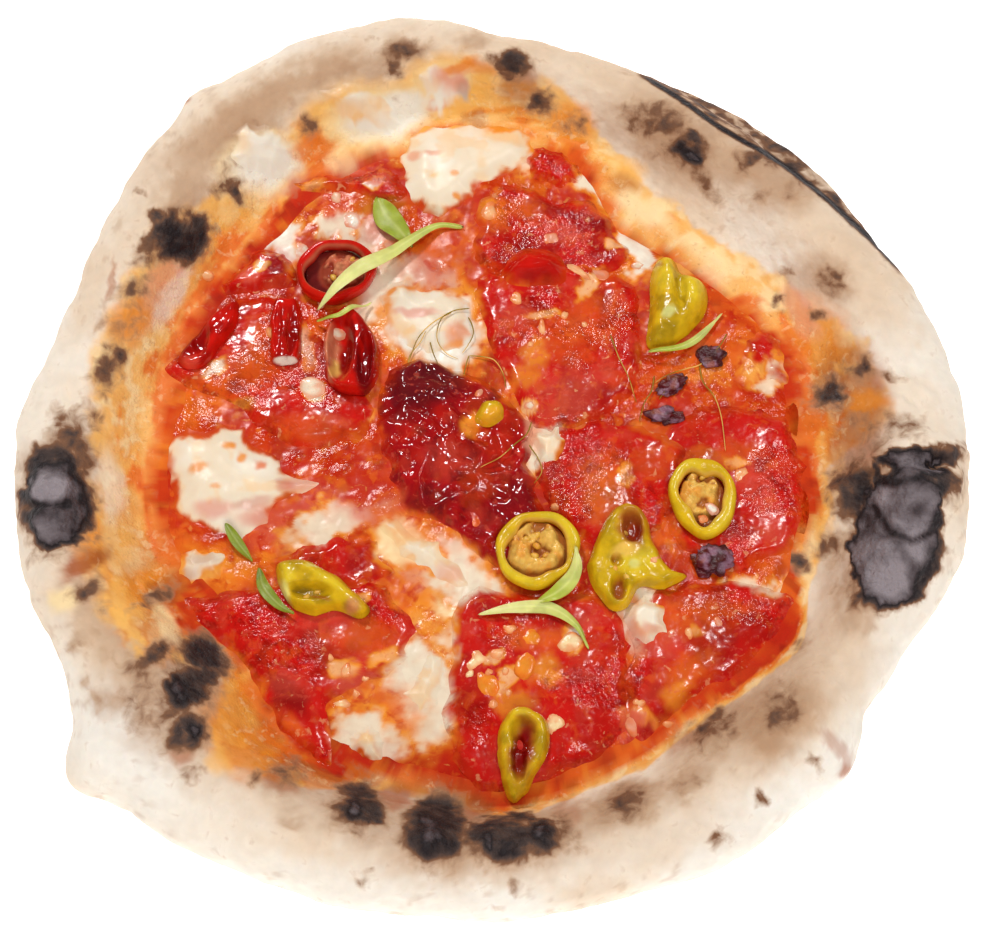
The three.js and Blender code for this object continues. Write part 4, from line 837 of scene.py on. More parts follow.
# One slab. Sizes in mm: thick, edge (thickness of its rim), bevel (how far in it reaches full thickness),
# ragged (how far its outline wanders), swell (height of its lumps), curl (how far its rim turns up).
def slab(name, piece, paintOf, material, slot, columns=150, rows=44):
    shape = {"thick": 2.2, "edge": 0.05, "bevel": 4, "ragged": 0.7, "swell": 0.3, "swellSize": 6, "curl": 0,
             "drape": 2, "sink": 0.6, "dips": [], "dipEdge": 2.5, "melted": False, "marks": 0, "crumple": 0,
             "round": 2.6, "underShare": 0.12, **piece}
    seed = seedOf(name)
    loop = smoothLoop(shape["points"], 72)
    middle = np.array(shape.get("middle") or loop.mean(axis=0))
    arm = loop - middle
    reach = np.hypot(*arm.T)[:, None]
    edgeNoise = fractal(loop[:, 0], loop[:, 1], 0 * loop[:, 0], 5, 3, seed)[:, None]
    loop = middle + arm * (1 + shape["ragged"] * edgeNoise / reach)
    floor = draped(heights, shape["drape"])
    closedLoop = [tuple(p) for p in loop]

    def topAt(x, y):   # its rim lies on what is really there, its middle on the softened form of that
        within = pathDistance(closedLoop, x, y, closed=True)
        t = np.clip(within / shape["bevel"], 0, 1)
        dome = smooth(0, 1, t) if shape["melted"] else 1 - (1 - t) ** shape["round"]
        lumpy = shape["swell"] * fractal(x, y, 0, shape["swellSize"], 2, seed + 3)
        curled = shape["curl"] * np.exp(-((within - 1.2) / 2.2) ** 2) * np.clip(
            0.4 + 0.9 * fractal(x, y, 0, 16, 2, seed + 5), 0, 1.4)
        dips = sum(rise * np.exp(-np.hypot((x - dx) / rx, (y - dy) / ry) ** shape["dipEdge"])
                   for dx, dy, rx, ry, rise in shape["dips"])
        crumpled = shape["crumple"] * (0.4 - np.abs(fractal(x, y, 0, 10, 3, seed + 6)))
        full = heightAt(floor, x, y) + shape["thick"] + lumpy + dips + crumpled
        return lerp(heightAt(heights, x, y) + shape["edge"], full, dome) + curled * smooth(0, 0.6, within), within

    def shapeOf(u, v):
        underShare = shape["underShare"]
        below = v < underShare
        share = np.where(below, v / underShare, (1 - v) / (1 - underShare))
        share = np.where(below, share, 1 - (1 - share) ** 1.3)   # finer rows towards the rim
        at = u * len(loop)
        i = np.floor(at).astype(int)
        f = (at - i)[:, None]
        rim = loop[i % len(loop)] * (1 - f) + loop[(i + 1) % len(loop)] * f
        x, y = (middle + (rim - middle) * share[:, None]).T
        z, within = topAt(x, y)
        z = np.where(below, np.minimum(heightAt(heights, x, y), heightAt(floor, x, y)) - shape["sink"], z)
        wet = np.clip(0.45 + 0.9 * fractal(x, y, 0, 12, 2, seed + 9), 0, 1)
        return x, y, z, paintOf(x, y, z, within, seed), wet, shape["marks"]

    bm = bmesh.new()
    surface(bm, columns, rows, shapeOf)
    finishPiece(bm, "baked_" + name, material, name, slot)
    window = windowOf(loop)
    wx, wy = gridX[window], gridY[window]
    layOnGrid(insideLoop(loop, wx, wy), topAt(wx, wy)[0], window)


# Melted cheese: ivory in the middle, stained by the sauce's oil at its rim, with oil pinholes.
cheeseSpots = [
    ("amber", [(-84, -3, 4, 3, 0.9), (-78, -2, 2.5, 2.5, 0.9), (-80, -7, 3, 3, 0.9)]),
    ("orange", [(-74, -9, 4, 2.5, 0.8)]), ("amber", [(-93, -10, 6, 3.5, 0.8, 20), (-70, -5, 3, 2, 0.8)]),
    ("orange", [(-66, -11, 4, 2, 0.7)]), ("amber", [(-88, -16, 3, 2, 0.6)]), ("tomato", [(-76, -22, 12, 4, 0.4, 15)]),
    ("rose", [(-70, -26, 20, 7, 0.6, 10), (-88, -24, 12, 6, 0.5)]), ("tomato", [(-66, -16, 5, 5, 0.5)]),
    ("rose", [(-60, -15, 12, 8, 0.5, 20)]), ("gold", [(-60, -10, 12, 5, 0.6, -20)]),
    ("ember", [(-105, -10, 6, 10, 0.6)]), ("amber", [(-13, 97, 3, 3, 0.8), (-12, 88, 2.2, 2, 0.9),
        (-8, 88, 2.2, 2, 0.9)]), ("orange", [(-21, 105, 5, 2.5, 0.5), (-27, 104, 5, 4, 0.5)]),
    # the moss band at (-18, 82) is painted shade beside the sprout leaf
    ("gold", [(-20, 96, 4, 2, 0.5), (4, 112, 14, 6, 0.5, -20)]), ("moss", [(-18, 82, 16, 4, 0.25, -20)]),
    ("brown", [(-8, 126, 9, 7, 0.5)]), ("orange", [(-14, 130, 14, 8, 0.6)]), ("gold", [(-50, 117, 20, 8, 0.6),
        (-38, 122, 14, 6, 0.4), (-86, 104, 10, 10, 0.4)]), ("orange", [(-10, 37, 10, 9, 0.6)]),
    ("amber", [(-12, 34, 8, 3, 0.7, 20)]), ("ember", [(-27, 55, 2.5, 2.5, 0.9), (-22, 56, 2, 3, 0.7)]),
    ("rose", [(-25, 45, 14, 3, 0.5)]), ("gold", [(-30, 40, 10, 6, 0.3)]), ("rust", [(-91, -40, 8, 4, 0.35),
        (-98, -45, 10, 5, 0.4)]), ("orange", [(-14, -45, 10, 6, 0.4)]), ("gold", [(-28, -32, 12, 6, 0.5),
        (-22, -84, 6, 10, 0.35)]), ("rose", [(48, -64, 8, 5, 0.45)]), ("plum", [(48, -53, 5, 3, 0.5)]),
    ("gold", [(-38, -95, 10, 6, 0.5)]),
]


def paintCheese(tone, stain, onRim=False):
    def paintOf(x, y, z, within, seed):
        colours = clouded(base(tone, len(x)), x, y, 0, seed, ("milk", 0.6, -0.1, 0.8, 10, 2, 30),
                          ("gold", 0.3 * stain, 0.3, 0.9, 6, 3, 32))
        edge = within + 1.6 * fractal(x, y, 0, 5, 3, seed + 31) + 1.2 * fractal(x, y, 0, 12, 2, seed + 34)
        colours = mixed(colours, "gold", 0.25 * stain * smooth(6.5, 3, edge) * (not onRim))
        colours = spotted(colours, x, y, 0 * x, cheeseSpots, 0.5, seed + 33, 0.5)
        # where it thins out, what lies under it shows through
        beneath = doughColours(x, y, z, soakedShare(x, y, z)) if onRim else sauceColours(x, y)
        shown = smooth(1, 6.5, edge)
        thin = beneath if onRim else mixed(beneath, "amber", 0.25 * smooth(0, 0.6, shown))
        return lerp(thin, colours, smooth(0.25, 0.8, shown)[:, None])
    return paintOf


cheeses = {
    "cheese_back": {"points": [(-33, 97), (-34, 108), (-27, 118), (-13, 122), (3, 121), (14, 116), (17, 107), (9, 98),
        (-1, 92), (-8, 84), (-16, 79), (-25, 80), (-31, 88)], "thick": 2.8, "bevel": 11, "swell": 0.25,
        "swellSize": 12},
    "cheese_back_left": {"points": [(-89, 100), (-86, 108), (-78, 111), (-70, 109), (-67, 102), (-71, 96), (-79, 93),
        (-85, 95)], "thick": 1.5, "onRim": True},
    "cheese_back_rim": {"points": [(-60, 121), (-56, 125), (-46, 127), (-36, 126), (-31, 121), (-33, 114), (-43, 112),
        (-53, 114)], "thick": 1.5, "onRim": True},
    "cheese_roasted_back": {"points": [(-29, 127), (-24, 134), (-15, 137), (-7, 133), (-5, 126), (-9, 121),
        (-18, 119), (-27, 121)], "thick": 1.6, "roasted": True, "swell": 0.6, "onRim": True},
    "cheese_middle": {"points": [(-38, 55), (-31, 60), (-20, 56), (-10, 53), (-5, 45), (-5, 35), (-11, 29), (-20, 28),
        (-30, 31), (-36, 39), (-39, 48)], "thick": 2, "bevel": 9, "dips": [(-33, 52, 6, 6, 2.4), (-14, 38, 7, 5, 1)]},
    "cheese_left": {"points": [(-107, -6), (-104, 3), (-96, 7), (-86, 8), (-77, 5), (-70, -3), (-61, -9), (-52, -13),
        (-55, -20), (-66, -24), (-72, -33), (-80, -37), (-90, -33), (-100, -26), (-104, -16)], "middle": (-84, -12),
        "thick": 2.2, "bevel": 11, "swell": 0.6, "swellSize": 8},
    "cheese_diagonal": {"points": [(-37, -25), (-31, -23), (-22, -30), (-12, -38), (-6, -46), (-11, -52), (-21, -47),
        (-31, -39), (-38, -31)], "thick": 1.5, "bevel": 8, "swell": 0.5},
    "cheese_low": {"points": [(-24, -72), (-17, -69), (-12, -75), (-14, -84), (-18, -92), (-26, -90), (-30, -82)],
        "thick": 1.5, "bevel": 8, "swell": 0.4},
    "cheese_low_left": {"points": [(-46, -96), (-40, -91), (-32, -92), (-30, -99), (-35, -104), (-43, -102)],
        "thick": 1.4, "bevel": 7},
    "cheese_bubble": {"points": [(-102, -42), (-97, -36), (-88, -35), (-82, -40), (-84, -47), (-92, -49), (-99, -48)],
        "thick": 2.6, "bevel": 8, "roasted": True, "swell": 0.4},
}
usualCheese = {"ragged": 1.8, "melted": True, "edge": -0.7, "sink": 1.4}
onTheRim = {"bevel": 6, "edge": -0.25, "drape": 0}
for name, piece in cheeses.items():
    onRim = piece.get("onRim", False)
    tone, usual = ("milk", {**usualCheese, **onTheRim}) if onRim else ("ivory", usualCheese)
    slab(name, {**usual, **piece}, paintCheese(tone, 1, onRim), mozzarella,
         "roasted_cheese" if piece.get("roasted") else "mozzarella")
print("cheese made")

# Salami: bright to dark red, marbled with fat that the oven turned orange.
salamiSpots = [
    ("fat", [(5, -78, 5, 5, 0.9), (0, -72, 5, 4, 0.85), (8, -75, 4, 4, 0.8), (2, -82, 6, 4, 0.8)]),
    ("amber", [(16, -76, 10, 9, 0.8), (6, -86, 12, 8, 0.7)]), ("fat", [(24, -66, 7, 6, 0.9)]),
    ("orange", [(12, -66, 18, 8, 0.6)]), ("fat", [(43, -91, 8, 6, 0.7)]), ("rose", [(28, -60, 10, 6, 0.5)]),
    ("milk", [(25, -65, 6, 5, 0.9)]), ("rose", [(42, -92, 9, 6, 0.9)]), ("fat", [(12, 12, 5, 4, 0.8)]),
    ("rose", [(22, 10, 18, 10, 0.4, 20)]), ("orange", [(20, 38, 24, 16, 0.3)]), ("amber", [(14, 30, 7, 10, 0.7)]),
    ("fat", [(16, 44, 10, 3, 0.8, 10)]), ("rose", [(8, 44, 12, 8, 0.5)]), ("orange", [(32, 42, 18, 20, 0.3)]),
    ("amber", [(10, 22, 8, 8, 0.6)]), ("rose", [(26, 20, 26, 10, 0.35, 10)]), ("fat", [(31, 56, 5, 14, 0.85, -35)]),
    ("rose", [(22, 76, 20, 6, 0.6, -20)]), ("orange", [(0, 83, 10, 14, 0.8)]), ("amber", [(-2, 86, 7, 10, 0.8)]),
    ("orange", [(8, 84, 16, 8, 0.5)]), ("fat", [(40, 70, 4, 4, 0.9), (48, 64, 3, 3, 0.9)]),
    ("plum", [(22, 84, 18, 5, 0.45, -15), (32, 80, 14, 8, 0.35)]), ("rose", [(34, 86, 12, 8, 0.5)]),
    ("fat", [(-84, 12, 14, 5, 0.4, 20)]), ("orange", [(-92, 18, 22, 10, 0.6)]), ("rose", [(-86, 26, 18, 6, 0.7, 30)]),
    ("milk", [(-90, 24, 5, 10, 0.7, -35)]), ("orange", [(-78, 26, 14, 14, 0.5), (-76, 36, 10, 16, 0.5),
        (-58, 4, 30, 10, 0.35, -10)]), ("rose", [(-50, 6, 8, 5, 0.4)]), ("ivory", [(-58, 17, 7, 7, 0.9),
        (-61, 33, 5, 16, 0.7)]), ("rose", [(-60, 28, 7, 18, 0.5)]), ("orange", [(-60, 40, 6, 10, 0.5)]),
    ("amber", [(36, -20, 14, 20, 0.35, 20)]), ("orange", [(34, -10, 16, 12, 0.35)]), ("fat", [(42, -12, 6, 8, 0.4)]),
    ("orange", [(50, -8, 12, 10, 0.3)]), ("amber", [(70, -6, 16, 6, 0.35, -10)]), ("orange", [(78, -4, 14, 8, 0.4)]),
    ("rose", [(82, -14, 12, 16, 0.45), (86, -28, 10, 14, 0.45, 20)]), ("fat", [(78, -8, 6, 4, 0.6)]),
    ("orange", [(60, -76, 18, 10, 0.7, 20)]), ("amber", [(56, -84, 10, 7, 0.7, 30)]),
    ("orange", [(56, -60, 26, 14, 0.4)]), ("rose", [(52, -68, 12, 8, 0.5)]), ("fat", [(62, -64, 5, 5, 0.5)]),
    ("orange", [(72, -56, 16, 6, 0.35)]), ("rose", [(-50, -60, 20, 14, 0.35, -20)]),
    ("orange", [(-38, -66, 18, 12, 0.45)]), ("fat", [(-46, -76, 8, 6, 0.7), (-34, -72, 10, 5, 0.6, 20)]),
    ("rose", [(-42, -80, 14, 6, 0.7, 20)]), ("plum", [(-62, -84, 8, 16, 0.3, 30)]),
    ("orange", [(-62, -94, 12, 6, 0.7, -10)]), ("rose", [(-62, -80, 12, 10, 0.35)]), ("fat", [(-40, -52, 5, 3, 0.6)]),
    ("milk", [(-40, 94, 6, 4, 0.8)]), ("rose", [(-38, 96, 10, 6, 0.7)]), ("fat", [(-60, 95, 6, 4, 0.6)]),
    ("rose", [(-80, 60, 9, 7, 0.7)]), ("fat", [(-76, 62, 6, 4, 0.7)]), ("plum", [(-70, 62, 7, 10, 0.6),
        (-22, 20, 26, 16, 0.8), (-28, 12, 14, 16, 0.6), (-14, 26, 20, 8, 0.7)]), ("rose", [(-14, -8, 16, 10, 0.3)]),
    ("plum", [(-20, -20, 16, 10, 0.5)]), ("fat", [(-6, 4, 8, 8, 0.35)]), ("scarlet", [(2, 0, 14, 20, 0.5)]),
    ("plum", [(6, -22, 16, 14, 0.35)]), ("blood", [(2, -34, 16, 14, 0.3), (-48, 2, 20, 6, 0.3),
        (68, -70, 14, 18, 0.5, 40), (30, -95, 14, 14, 0.3)]), ("plum", [(14, -46, 34, 6, 0.4)]),
    ("blood", [(-4, -54, 8, 8, 0.4), (4, -104, 14, 10, 0.4)]),
]


def paintSalami(tone, fatness):
    def paintOf(x, y, z, within, seed):
        colours = clouded(base(tone, len(x)), x, y, 0, seed, ("blood", 0.55, 0, 0.9, 11, 3, 40),
                          ("tomato", 0.45, 0, 0.7, 6, 3, 41), ("orange", fatness * 0.3, 0.25, 0.9, 9, 4, 42),
                          ("rose", fatness * 0.4, 0.3, 0.8, 5, 3, 43))
        colours = spotted(colours, x, y, 0 * x, salamiSpots, 0.9, seed + 44, 0.5, oily=True)
        edge = within + 1.1 * fractal(x, y, 0, 4, 3, seed + 45) + 2.2 * fractal(x, y, 0, 9, 3, seed + 46)
        drowned = 0.9 * smooth(3.4, 0.2, edge) * smooth(0.3, 0, soakedShare(x, y, z))   # none where the dough begins
        return lerp(colours, sauceColours(x, y), drowned[:, None])
    return paintOf


salamis = {
    "salami_back": {"points": [(10, 103), (14, 108), (21, 109), (27, 106), (30, 99), (28, 94), (20, 93), (13, 96)]},
    "salami_strip": {"points": [(-69, 94), (-62, 98), (-54, 99), (-45, 98), (-36, 101), (-31, 97), (-30, 90),
        (-36, 86), (-44, 88), (-51, 91), (-59, 91)]},
    "salami_chunk": {"points": [(-91, 56), (-86, 62), (-80, 70), (-74, 69), (-68, 64), (-66, 57), (-73, 53),
        (-84, 52)], "thick": 3, "fat": 0.8},
    "salami_left": {"points": [(-107, 26), (-98, 37), (-90, 46), (-80, 51), (-68, 50), (-58, 40), (-48, 26),
        (-40, 14), (-39, 4), (-48, -2), (-60, -3), (-69, -1), (-77, 5), (-85, 12), (-95, 17), (-103, 20)],
        "middle": (-70, 22)},
    "salami_top": {"points": [(-7, 84), (-2, 93), (5, 95), (14, 93), (23, 88), (33, 88), (38, 83), (41, 75), (46, 67),
        (40, 60), (24, 58), (8, 58), (-6, 63), (-8, 74)]},
    "salami_middle": {"points": [(-6, 58), (4, 62), (18, 64), (32, 62), (44, 58), (49, 50), (47, 40), (48, 30),
        (46, 18), (39, 9), (27, 4), (14, 4), (8, 11), (5, 20), (0, 30), (-4, 42)], "fat": 0.75},
    "salami_right": {"points": [(50, -8), (54, 4), (62, 11), (74, 13), (86, 12), (94, 7), (99, -2), (101, -12),
        (99, -24), (94, -34), (86, -41), (76, -44), (64, -41), (55, -32), (51, -20)]},
    "salami_centre_right": {"points": [(12, -6), (20, 3), (34, 7), (48, 6), (58, 1), (62, -8), (60, -20), (53, -30),
        (42, -37), (30, -36), (20, -28), (14, -18)]},
    "salami_low_middle": {"points": [(-12, -52), (-5, -48), (6, -50), (18, -51), (30, -51), (39, -58), (42, -70),
        (42, -86), (38, -97), (27, -105), (14, -110), (3, -113), (-6, -112), (-12, -104), (-16, -92), (-14, -76),
        (-13, -62)]},
    "salami_low_right": {"points": [(44, -55), (54, -49), (68, -48), (82, -49), (91, -51), (91, -59), (86, -66),
        (80, -73), (73, -79), (65, -83), (57, -88), (50, -95), (43, -99), (40, -88), (41, -70)], "middle": (60, -68)},
    "salami_low_left": {"points": [(-98, -52), (-88, -51), (-78, -49), (-66, -46), (-54, -44), (-40, -46), (-30, -52),
        (-24, -62), (-26, -72), (-34, -79), (-45, -82), (-51, -90), (-48, -99), (-49, -106), (-57, -101), (-65, -94),
        (-71, -85), (-78, -73), (-89, -63)], "middle": (-56, -66)},
    "salami_centre": {"points": [(-34, 25), (-26, 29), (-15, 27), (-5, 23), (3, 18), (9, 11), (12, 3), (12, -7),
        (14, -18), (17, -28), (12, -38), (2, -44), (-6, -38), (-14, -30), (-24, -26), (-31, -19), (-34, -8), (-37, 2),
        (-38, 14)], "thick": 2.6, "swell": 0.6, "crumple": 2.6, "dark": True},
    "salami_flap": {"points": [(-69, -40), (-60, -36), (-50, -33), (-40, -33), (-34, -38), (-33, -46), (-42, -50),
        (-56, -49), (-66, -45)]},
    "salami_fold": {"points": [(2, 58), (4, 65), (9, 69), (16, 69), (22, 66), (25, 60), (23, 55), (14, 54), (6, 54)],
        "thick": 4, "bevel": 7, "swell": 0.1, "smooth": True, "ragged": 0.2, "fat": 0.15},
    "salami_corner": {"points": [(82, 35), (88, 39), (93, 34), (96, 26), (95, 20), (89, 21), (83, 27)]},
}
usualSalami = {"thick": 1.3, "edge": -0.3, "bevel": 4.2, "melted": True, "curl": 0.35, "swell": 0.35, "swellSize": 14,
               "ragged": 1.6, "fat": 0.5}
for name, piece in salamis.items():
    fatness = {**usualSalami, **piece}["fat"]
    tone, material, slot = ("maroon", darkSalamiMeat, "dark_salami") if piece.get("dark") else (
        "scarlet", redChiliSkin if piece.get("smooth") else salamiMeat, "salami")
    slab(name, {**usualSalami, **piece, "marks": fatness + 0.3}, paintSalami(tone, fatness), material, slot, 170, 52)

cheeseOnTop = {
    "cheese_right": {"points": [(41, -55), (46, -51), (53, -53), (54, -60), (50, -67), (43, -67), (40, -61)],
        "thick": 2, "bevel": 5},
    "cheese_crumb": {"points": [(13, 3), (21, 5), (23, -1), (20, -7), (14, -6)], "thick": 1.6, "bevel": 4},
}
for name, piece in cheeseOnTop.items():
    slab(name, {**usualCheese, **piece}, paintCheese("ivory", 0.8), mozzarella, "mozzarella", columns=96, rows=36)
print("salami made")

chiliSpots = [
    # painted shade: the blood streaks in the red quarter's hollow and the red half's groove
    ("blood", [(-95, 36, 20, 6, 0.9, 52)]), ("scarlet", [(-90, 42, 12, 5, 0.8, 52)]),
    ("rose", [(-98, 27, 5, 4, 0.5)]), ("blood", [(-65.5, 36, 3.5, 20, 0.8), (-68, 32, 5, 10, 0.4)]),
    # painted highlight: the thin milk line at the red half's cut end
    ("milk", [(-67, 26.5, 10, 1.1, 0.9)]), ("membrane", [(-52, 29, 5, 17, 0.8, 5)]), ("seed", [(-51, 24, 4, 7, 0.8)]),
    # painted shadows: the blood and plum spots inside the red hoop
    ("blood", [(-47, 31, 4, 22, 0.9, -8)]), ("plum", [(-42, 24, 5, 20, 0.9, 10)]),
    ("blood", [(-42, 30, 7, 24, 0.7, 10)]), ("scarlet", [(-44.5, 36, 1.8, 16, 0.8, 10)]),
    # painted shade: the rust and blood spots in the holes of the green ear and the green drop
    ("rust", [(42.5, -31, 8, 13, 1, 8)]), ("blood", [(43.5, -33, 5, 8, 0.8, 8)]), ("rust", [(38.5, -50.5, 4, 7, 0.95),
        (38, -42, 3, 3, 0.9)]), ("lime", [(44, -42, 12, 8, 0.6)]), ("seed", [(41, -39, 9, 4, 0.7, 20)]),
    ("leafPale", [(44, -43, 3, 3, 0.6)]), ("rust", [(8.5, -101, 7, 21, 1, -8)]),
    ("blood", [(8, -101, 4.6, 16, 1, -8)]), ("lime", [(10, -90, 9, 3, 0.5)]),
    # painted shade: the moss and rust streaks in the green half's groove and the moss streak in the green chunk's
    # groove
    ("moss", [(-56, -53, 13, 4, 0.75, -22)]), ("rust", [(-53, -54, 5, 2, 0.7, -22)]), ("lime", [(-64, -47, 6, 8, 0.6),
        (-50, -48, 16, 4, 0.5, -30)]), ("membrane", [(-43, -57, 6, 4, 0.7)]), ("leafPale", [(-65, -52, 4, 8, 0.6, 15),
        (-54, -44, 6, 1.4, 0.7)]), ("moss", [(61, 51, 1.8, 14, 0.7, 12)]), ("lime", [(65, 52, 8, 10, 0.6),
        (56, 58, 6, 12, 0.5)]), ("leafPale", [(57, 42, 5, 3, 0.7, 30)]), ("moss", [(54, 36, 10, 3.5, 0.5, 20)]),
    ("amber", [(-1, 7, 8, 5, 0.5, 30)]), ("rust", [(54, 62, 6, 1.6, 0.5, -30)]),
]


def paintChili(tone, shadowTone):
    def paintOf(x, y, z, _, seed):
        colours = clouded(base(tone, len(x)), x, y, z, seed, (shadowTone, 0.5, -0.1, 0.8, 5, 3, 50))
        return spotted(colours, x, y, 0 * x, chiliSpots, 0.5, seed + 51, 0.45)
    return paintOf


def chiliFinish(red):   # material and slot
    return (redChiliSkin, "red_chili") if red else (pickledChiliSkin, "pickled_chili")


chilies = {
    "chili_green_ear": {"points": [(31, -37), (35, -28), (41, -22), (47, -25), (50, -35), (54, -43), (60, -46),
        (53, -50), (45, -50), (41, -56), (36, -57), (31, -50), (29, -43)], "thick": 5.2, "bevel": 3, "edge": 0.5,
        "dips": [(43, -31, 2.6, 4.6, -4.4), (38.5, -50.5, 2.3, 3.8, -4.2), (38, -42, 1.6, 1.8, -2.4),
        (44, -46, 3, 2.4, -1)]},
    "chili_green_drop": {"points": [(1, -97), (3, -91), (8, -88), (14, -90), (17, -96), (15, -104), (10, -113),
        (5, -116), (2, -107)], "thick": 4.8, "bevel": 2.6, "edge": 0.5, "dips": [(9, -96.5, 3.6, 4.5, -3.8),
        (7.5, -104, 2, 6.5, -3.6)]},
    "chili_green_half": {"points": [(-68, -43), (-60, -41), (-52, -44), (-44, -50), (-38, -57), (-41, -60),
        (-49, -57), (-57, -59), (-64, -54)], "thick": 5.2, "bevel": 3.6, "edge": 0.4,
        "dips": [(-57, -52, 6.5, 2.6, -3.8)]},
    "chili_green_chunk": {"points": [(51, 45), (52, 58), (55, 65), (60, 65), (62, 60), (66, 58), (70, 55), (70, 46),
        (64, 38), (56, 32), (50, 33)], "thick": 7.2, "bevel": 7, "edge": 0.5, "dipEdge": 2.5,
        "dips": [(61, 52, 1.8, 8, -3), (57, 40, 3, 2.4, -1.6)], "ragged": 0.3},
    "chili_green_seed": {"points": [(-6, 8), (-3, 13), (2, 12), (3, 7), (-1, 4), (-5, 5)], "thick": 3.2, "bevel": 3.2,
        "ragged": 0.2},
    "chili_red_half": {"points": [(-72, 49), (-68, 50), (-64, 49), (-62.5, 38), (-63, 27), (-67, 26), (-71.5, 26.5),
        (-73, 37)], "thick": 3.8, "bevel": 2.2, "edge": 0.4, "red": True, "dips": [(-65.5, 37, 1.8, 9, -1.4),
        (-70, 37, 1.2, 9, -0.7)]},
    "chili_red_quarter": {"points": [(-103, 28), (-97, 38), (-90, 46), (-84, 49), (-84, 40), (-89, 32), (-95, 25)],
        "middle": (-92, 37), "thick": 3.4, "bevel": 2.6, "edge": 0.3, "red": True, "dips": [(-95, 35, 2.6, 6, -1.8)]},
    "chili_red_hoop": {"points": [(-55, 28), (-55, 38), (-50, 46), (-44, 45), (-38, 35), (-37, 25), (-41, 16),
        (-47, 15), (-53, 19)], "thick": 6.2, "bevel": 2.2, "edge": 0.6, "red": True,
        "dips": [(-49.5, 29.5, 3.6, 11, -5.6), (-41.5, 26, 2.2, 9, -3.4)]},
}
usualChili = {"swell": 0.3, "swellSize": 4, "ragged": 0.4, "drape": 3, "dipEdge": 5}
for name, piece in chilies.items():
    red = piece.get("red", False)
    paint = paintChili("scarlet", "blood") if red else paintChili("olive", "moss")
    slab(name, {**usualChili, **piece}, paint, *chiliFinish(red), 120, 60)


# A ring cut across a chili: a rounded wall, with ribs, pith and seeds in the middle.
def chiliRing(name, ring):
    red = ring.get("red", False)
    x0, y0, rx, ry, wall, height = (ring[k] for k in ("x", "y", "rx", "ry", "wall", "height"))
    seed = seedOf(name)
    column, row = (int((c + grid["reach"]) / grid["pitch"]) for c in (x0, y0))
    floor = float(draped(heights, 5)[row, column])
    leanX, leanY = ring["lean"]
    wallTone, innerTone, shadowTone = ("scarlet", "membrane", "blood") if red else ("olive", "seed", "rust")
    topTone, pithTone, gapTone = ("tomato", "rose", "plum") if red else ("lime", "amber", "blood")
    pithX, pithY, pithSpan = ring["pith"]

    def shapeWall(u, v):
        a, s = 2 * np.pi * u, 2 * np.pi * v
        wobble = 1 + 0.05 * np.sin(2 * a + seed) + 0.035 * np.sin(3 * a + 2 * seed) + 0.015 * np.sin(7 * a)
        thick = wall * (1 + 0.22 * np.sin(3 * a + seed) + 0.12 * np.sin(5 * a + 1))
        mid = 1 - thick / rx / 2
        side, up = np.cos(s), np.sin(s)
        across = mid * wobble + thick / rx / 2 * np.sign(side) * np.abs(side) ** 0.8
        dx, dy = across * rx * np.cos(a), across * ry * np.sin(a)
        z = floor + height / 2 + height / 2 * np.sign(up) * np.abs(up) ** 0.7 + leanX * dx + leanY * dy
        colours = base(wallTone, len(u))
        # painted shade: darker on the wall's inner side and underneath
        colours = mixed(colours, shadowTone, 0.35 * smooth(-0.2, -0.95, side) + 0.5 * smooth(0, -1, up))
        colours = mixed(colours, topTone, 0.5 * smooth(0.3, 1, up) * smooth(-0.4, 0.6, np.sin(a * 2 + seed)))
        colours = mixed(colours, innerTone, 0.5 * smooth(0.2, 0.9, -side) * smooth(-0.3, 0.7, up))
        return x0 + dx, y0 + dy, z, colours, 1, 0

    def shapePith(u, v):   # the spongy middle that carries the seeds
        a = 2 * np.pi * u
        underShare = 0.15
        below = v < underShare
        share = np.where(below, v / underShare, (1 - v) / (1 - underShare))
        reach = (1 - 0.8 * wall / rx) * share
        dx, dy = reach * rx * np.cos(a), reach * ry * np.sin(a)
        rib = np.clip(0.55 + 0.7 * fractal(dx + x0, dy + y0, 0, 4, 3, seed + 60), 0, 1.3)
        away = np.hypot((dx - pithX) / rx, (dy - pithY) / ry) / pithSpan + 0.12 * fractal(dx, dy, 0, 5, 2, seed + 61)
        dome = np.sqrt(np.clip(1 - share ** 8, 0, 1)) * smooth(1.0, 0.7, away)
        rib = rib * smooth(1.0, 0.75, away)
        z = floor + np.where(below, 0, 0.6 + ring["seeds"] * dome * (0.35 + 0.9 * rib)) + leanX * dx + leanY * dy
        colours = clouded(base(innerTone, len(u)), dx, dy, 0, seed, (pithTone, 0.5, -0.2, 0.6, 3, 3, 62))
        # painted shade: darker between the ribs of the pith
        colours = mixed(colours, shadowTone, smooth(0.4, 0.1, rib) * 0.8)
        # painted shade in the gap between the pith and the wall
        colours = mixed(colours, gapTone, 0.8 * smooth(0.95, 1.15, away))
        return x0 + dx, y0 + dy, z, colours, 1, 0

    bm = bmesh.new()
    surface(bm, 96, 26, shapeWall)
    surface(bm, 80, 30, shapePith)
    material, slot = chiliFinish(red)
    finishPiece(bm, "baked_" + name, material, name, slot)
    ringed = np.hypot((gridX - x0) / rx, (gridY - y0) / ry)
    layOnGrid((ringed < 1) & (ringed > 1 - wall / rx), floor + height + leanX * (gridX - x0) + leanY * (gridY - y0))
    layOnGrid(ringed < 1, floor + ring["seeds"])


